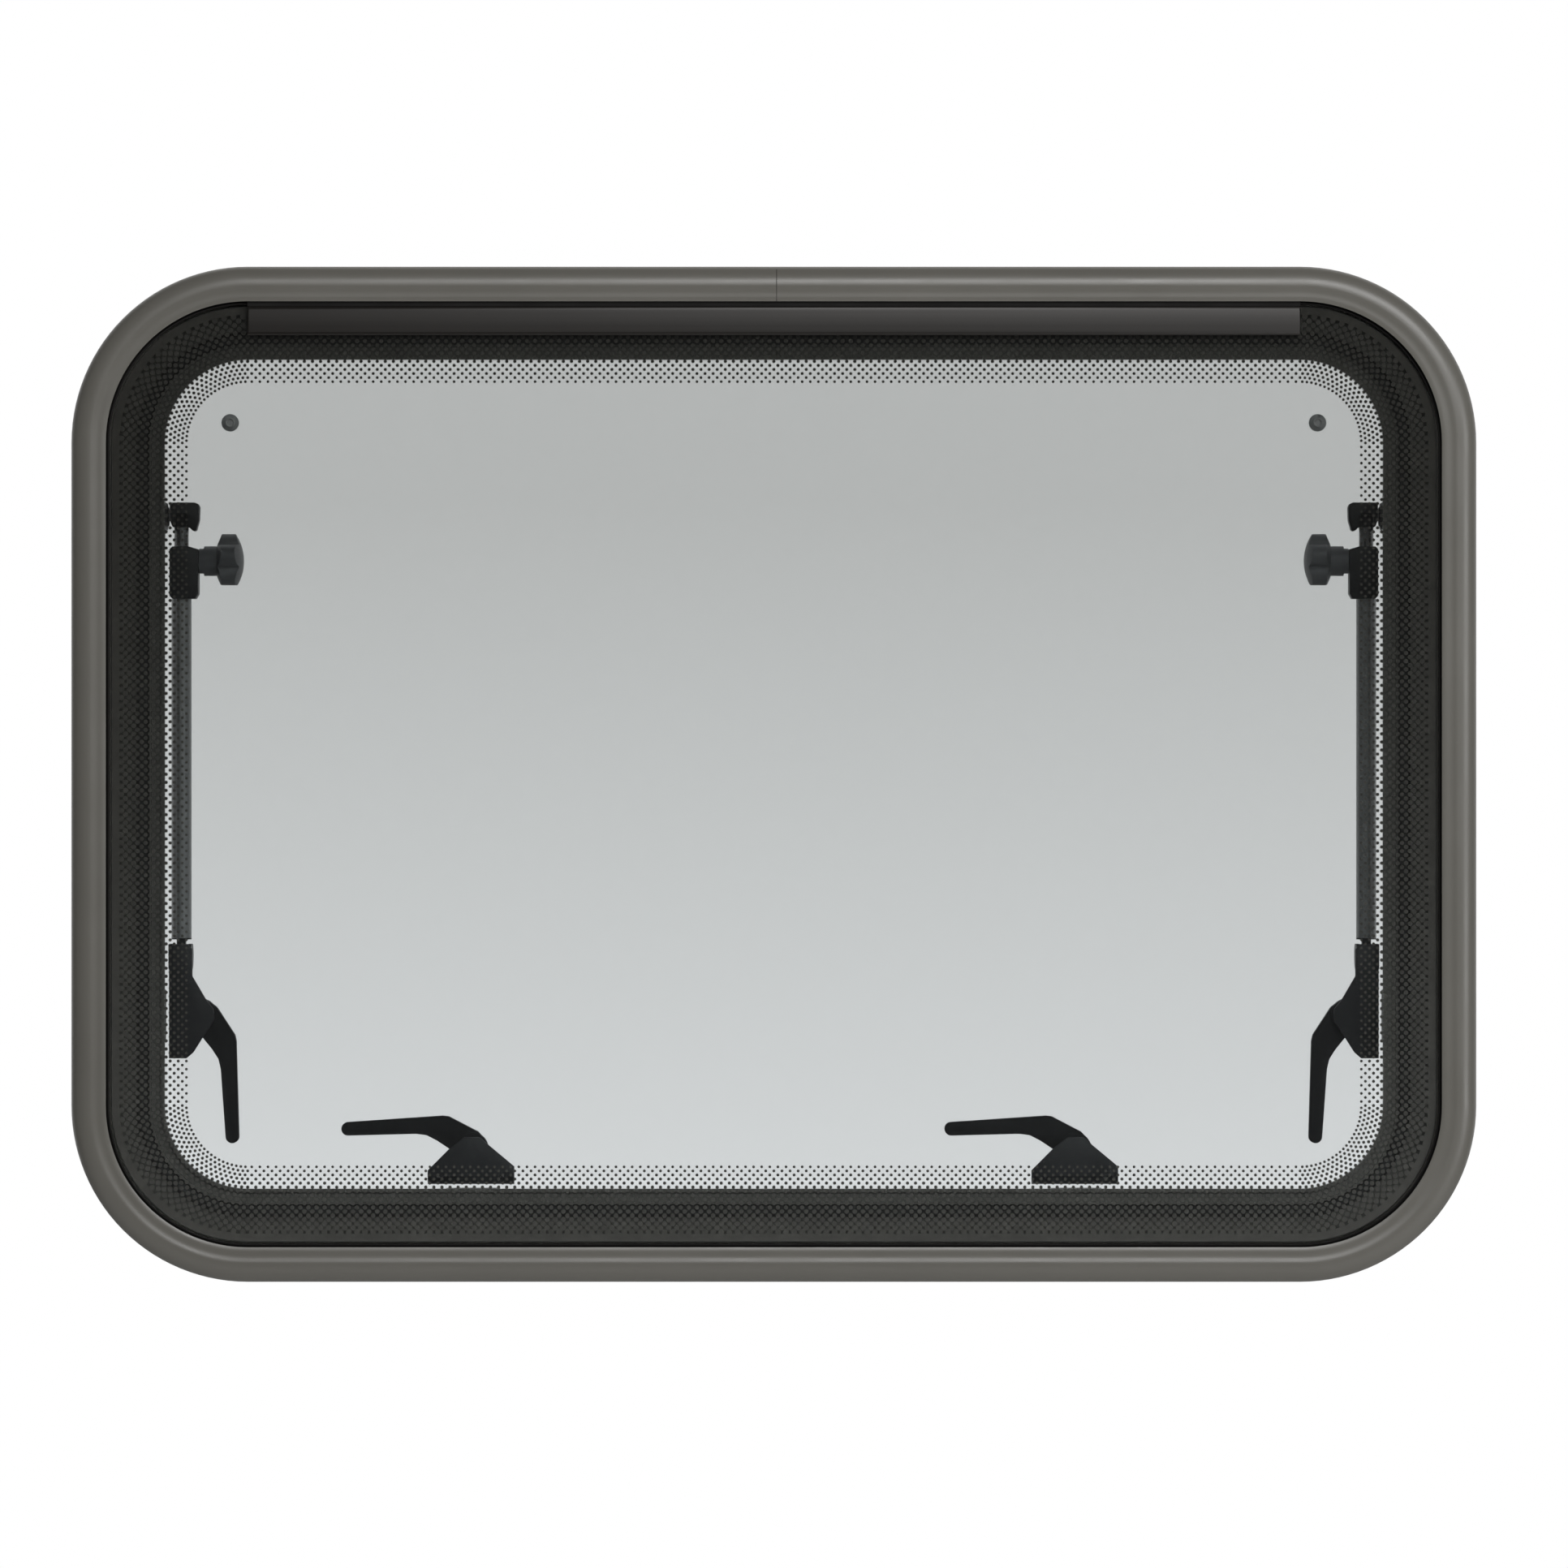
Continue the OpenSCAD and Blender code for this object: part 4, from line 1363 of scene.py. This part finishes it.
def add_lamp(name, place, size, power):
    """A lamp that neither the camera nor the panes show."""
    clear_selection()
    bpy.ops.object.light_add(type="AREA", location=place)
    lamp = active()
    lamp.name = name
    lamp.data.shape = "RECTANGLE"
    lamp.data.size = size[0]
    lamp.data.size_y = size[1]
    lamp.data.energy = power
    lamp.visible_camera = False
    lamp.visible_transmission = False
    aim(lamp)
    return lamp


def background(tree, strength):
    """An even white background, whose strength can be a socket."""
    node = tree.nodes.new("ShaderNodeBackground")
    node.inputs["Color"].default_value = (1, 1, 1, 1)
    feed(tree, node.inputs["Strength"], strength)
    return node.outputs[0]


def build_world(ambient):
    """White behind the window for the camera and through the panes, a soft room for the light."""
    world = bpy.data.worlds.new("studio")
    bpy.context.scene.world = world
    world.use_nodes = True
    tree = world.node_tree
    tree.nodes.clear()
    path = tree.nodes.new("ShaderNodeLightPath")
    passed = path.outputs["Is Transmission Ray"]
    no_diffuse = math_node(tree, "LESS_THAN", path.outputs["Diffuse Depth"], 0.5)
    no_glossy = math_node(tree, "LESS_THAN", path.outputs["Glossy Depth"], 0.5)

    # What the panes and the metal mirror: dark before the window and white behind it
    way = tree.nodes.new("ShaderNodeTexCoord")
    parts = tree.nodes.new("ShaderNodeSeparateXYZ")
    tree.links.new(way.outputs["Generated"], parts.inputs[0])
    mirror = background(tree, range_node(tree, parts.outputs["Y"], 0, 0.5, 0.06, 1))
    mirrored = math_node(tree, "ADD", path.outputs["Is Glossy Ray"], passed, clamp=True)
    mirrored = math_node(tree, "MULTIPLY", mirrored, no_diffuse)

    straight = math_node(tree, "ADD", path.outputs["Is Camera Ray"], passed, clamp=True)
    straight = math_node(tree, "MULTIPLY", straight, math_node(tree, "MULTIPLY", no_diffuse, no_glossy))
    lit = mix_shaders(tree, mirrored, background(tree, ambient), mirror)
    put_out(tree, mix_shaders(tree, straight, lit, background(tree, 1)), "ShaderNodeOutputWorld")


class WINDOW_OT_stage(Operator):
    """Sets the floor, the lamps, the background and the camera"""

    bl_idname = "caravan_window.stage"
    bl_label = "Stage"

    def execute(self, context):
        given = context.scene.caravan_window.stage
        scene = context.scene
        clear_selection()
        bpy.ops.mesh.primitive_plane_add(size=5, location=(0, 0, given.floor_height))
        floor = active()
        edit_mode()
        bpy.ops.mesh.subdivide(number_cuts=8)
        object_mode()
        settle(floor, "studio_floor")
        paint(floor, finish(floor_paint))

        build_world(given.ambient)
        for name, (place, size, setting, share) in LAMPS.items():
            lamp = add_lamp(name, place, size, getattr(given, setting) * share)
            lamp.visible_glossy = name != "inside_lamp"

        clear_selection()
        bpy.ops.object.camera_add(location=(0, -given.distance, 0))
        camera = active()
        camera.name = "front_camera"
        aim(camera)
        camera.data.sensor_width = SENSOR
        camera.data.lens = SENSOR * given.distance / given.view_width
        camera.data.shift_x = OFF_CENTRE[0] / PHOTO_WIDTH
        camera.data.shift_y = OFF_CENTRE[1] / PHOTO_WIDTH
        camera.data.clip_end = 50
        scene.camera = camera
        scene.view_settings.view_transform = "Standard"
        return {"FINISHED"}


STEPS = (
    WINDOW_OT_finishes,
    WINDOW_OT_border,
    WINDOW_OT_screws,
    WINDOW_OT_catches,
    WINDOW_OT_stay_fittings,
    WINDOW_OT_knobs,
    WINDOW_OT_plugs,
    WINDOW_OT_rail,
    WINDOW_OT_frame,
    WINDOW_OT_joint,
    WINDOW_OT_stage,
)


class WINDOW_PT_panel(Panel):
    """Lists the settings and the steps that dress the window."""

    bl_idname = "WINDOW_PT_panel"
    bl_label = "Caravan Window"
    bl_space_type = "VIEW_3D"
    bl_region_type = "UI"
    bl_category = "Caravan Window"

    def draw(self, context):
        settings = context.scene.caravan_window
        for part in WindowSettings.__annotations__:
            box = self.layout.box()
            group = getattr(settings, part)
            for name in group.__annotations__:
                box.prop(group, name)
        for step in STEPS:
            self.layout.operator(step.bl_idname)


CLASSES = (
    PrintSettings,
    SectionSettings,
    MouldingSettings,
    FinishSettings,
    StageSettings,
    WindowSettings,
    *STEPS,
    WINDOW_PT_panel,
)


def register():
    for item in CLASSES:
        bpy.utils.register_class(item)
    bpy.types.Scene.caravan_window = PointerProperty(type=WindowSettings)


def unregister():
    del bpy.types.Scene.caravan_window
    for item in reversed(CLASSES):
        bpy.utils.unregister_class(item)


def main():
    register()
    steps = bpy.ops.caravan_window
    steps.finishes()
    steps.border()
    steps.screws()
    steps.catches()
    steps.stay_fittings()
    steps.knobs()
    steps.plugs()
    steps.rail()
    steps.frame()
    steps.joint()
    steps.stage()


if __name__ == "__main__":
    main()
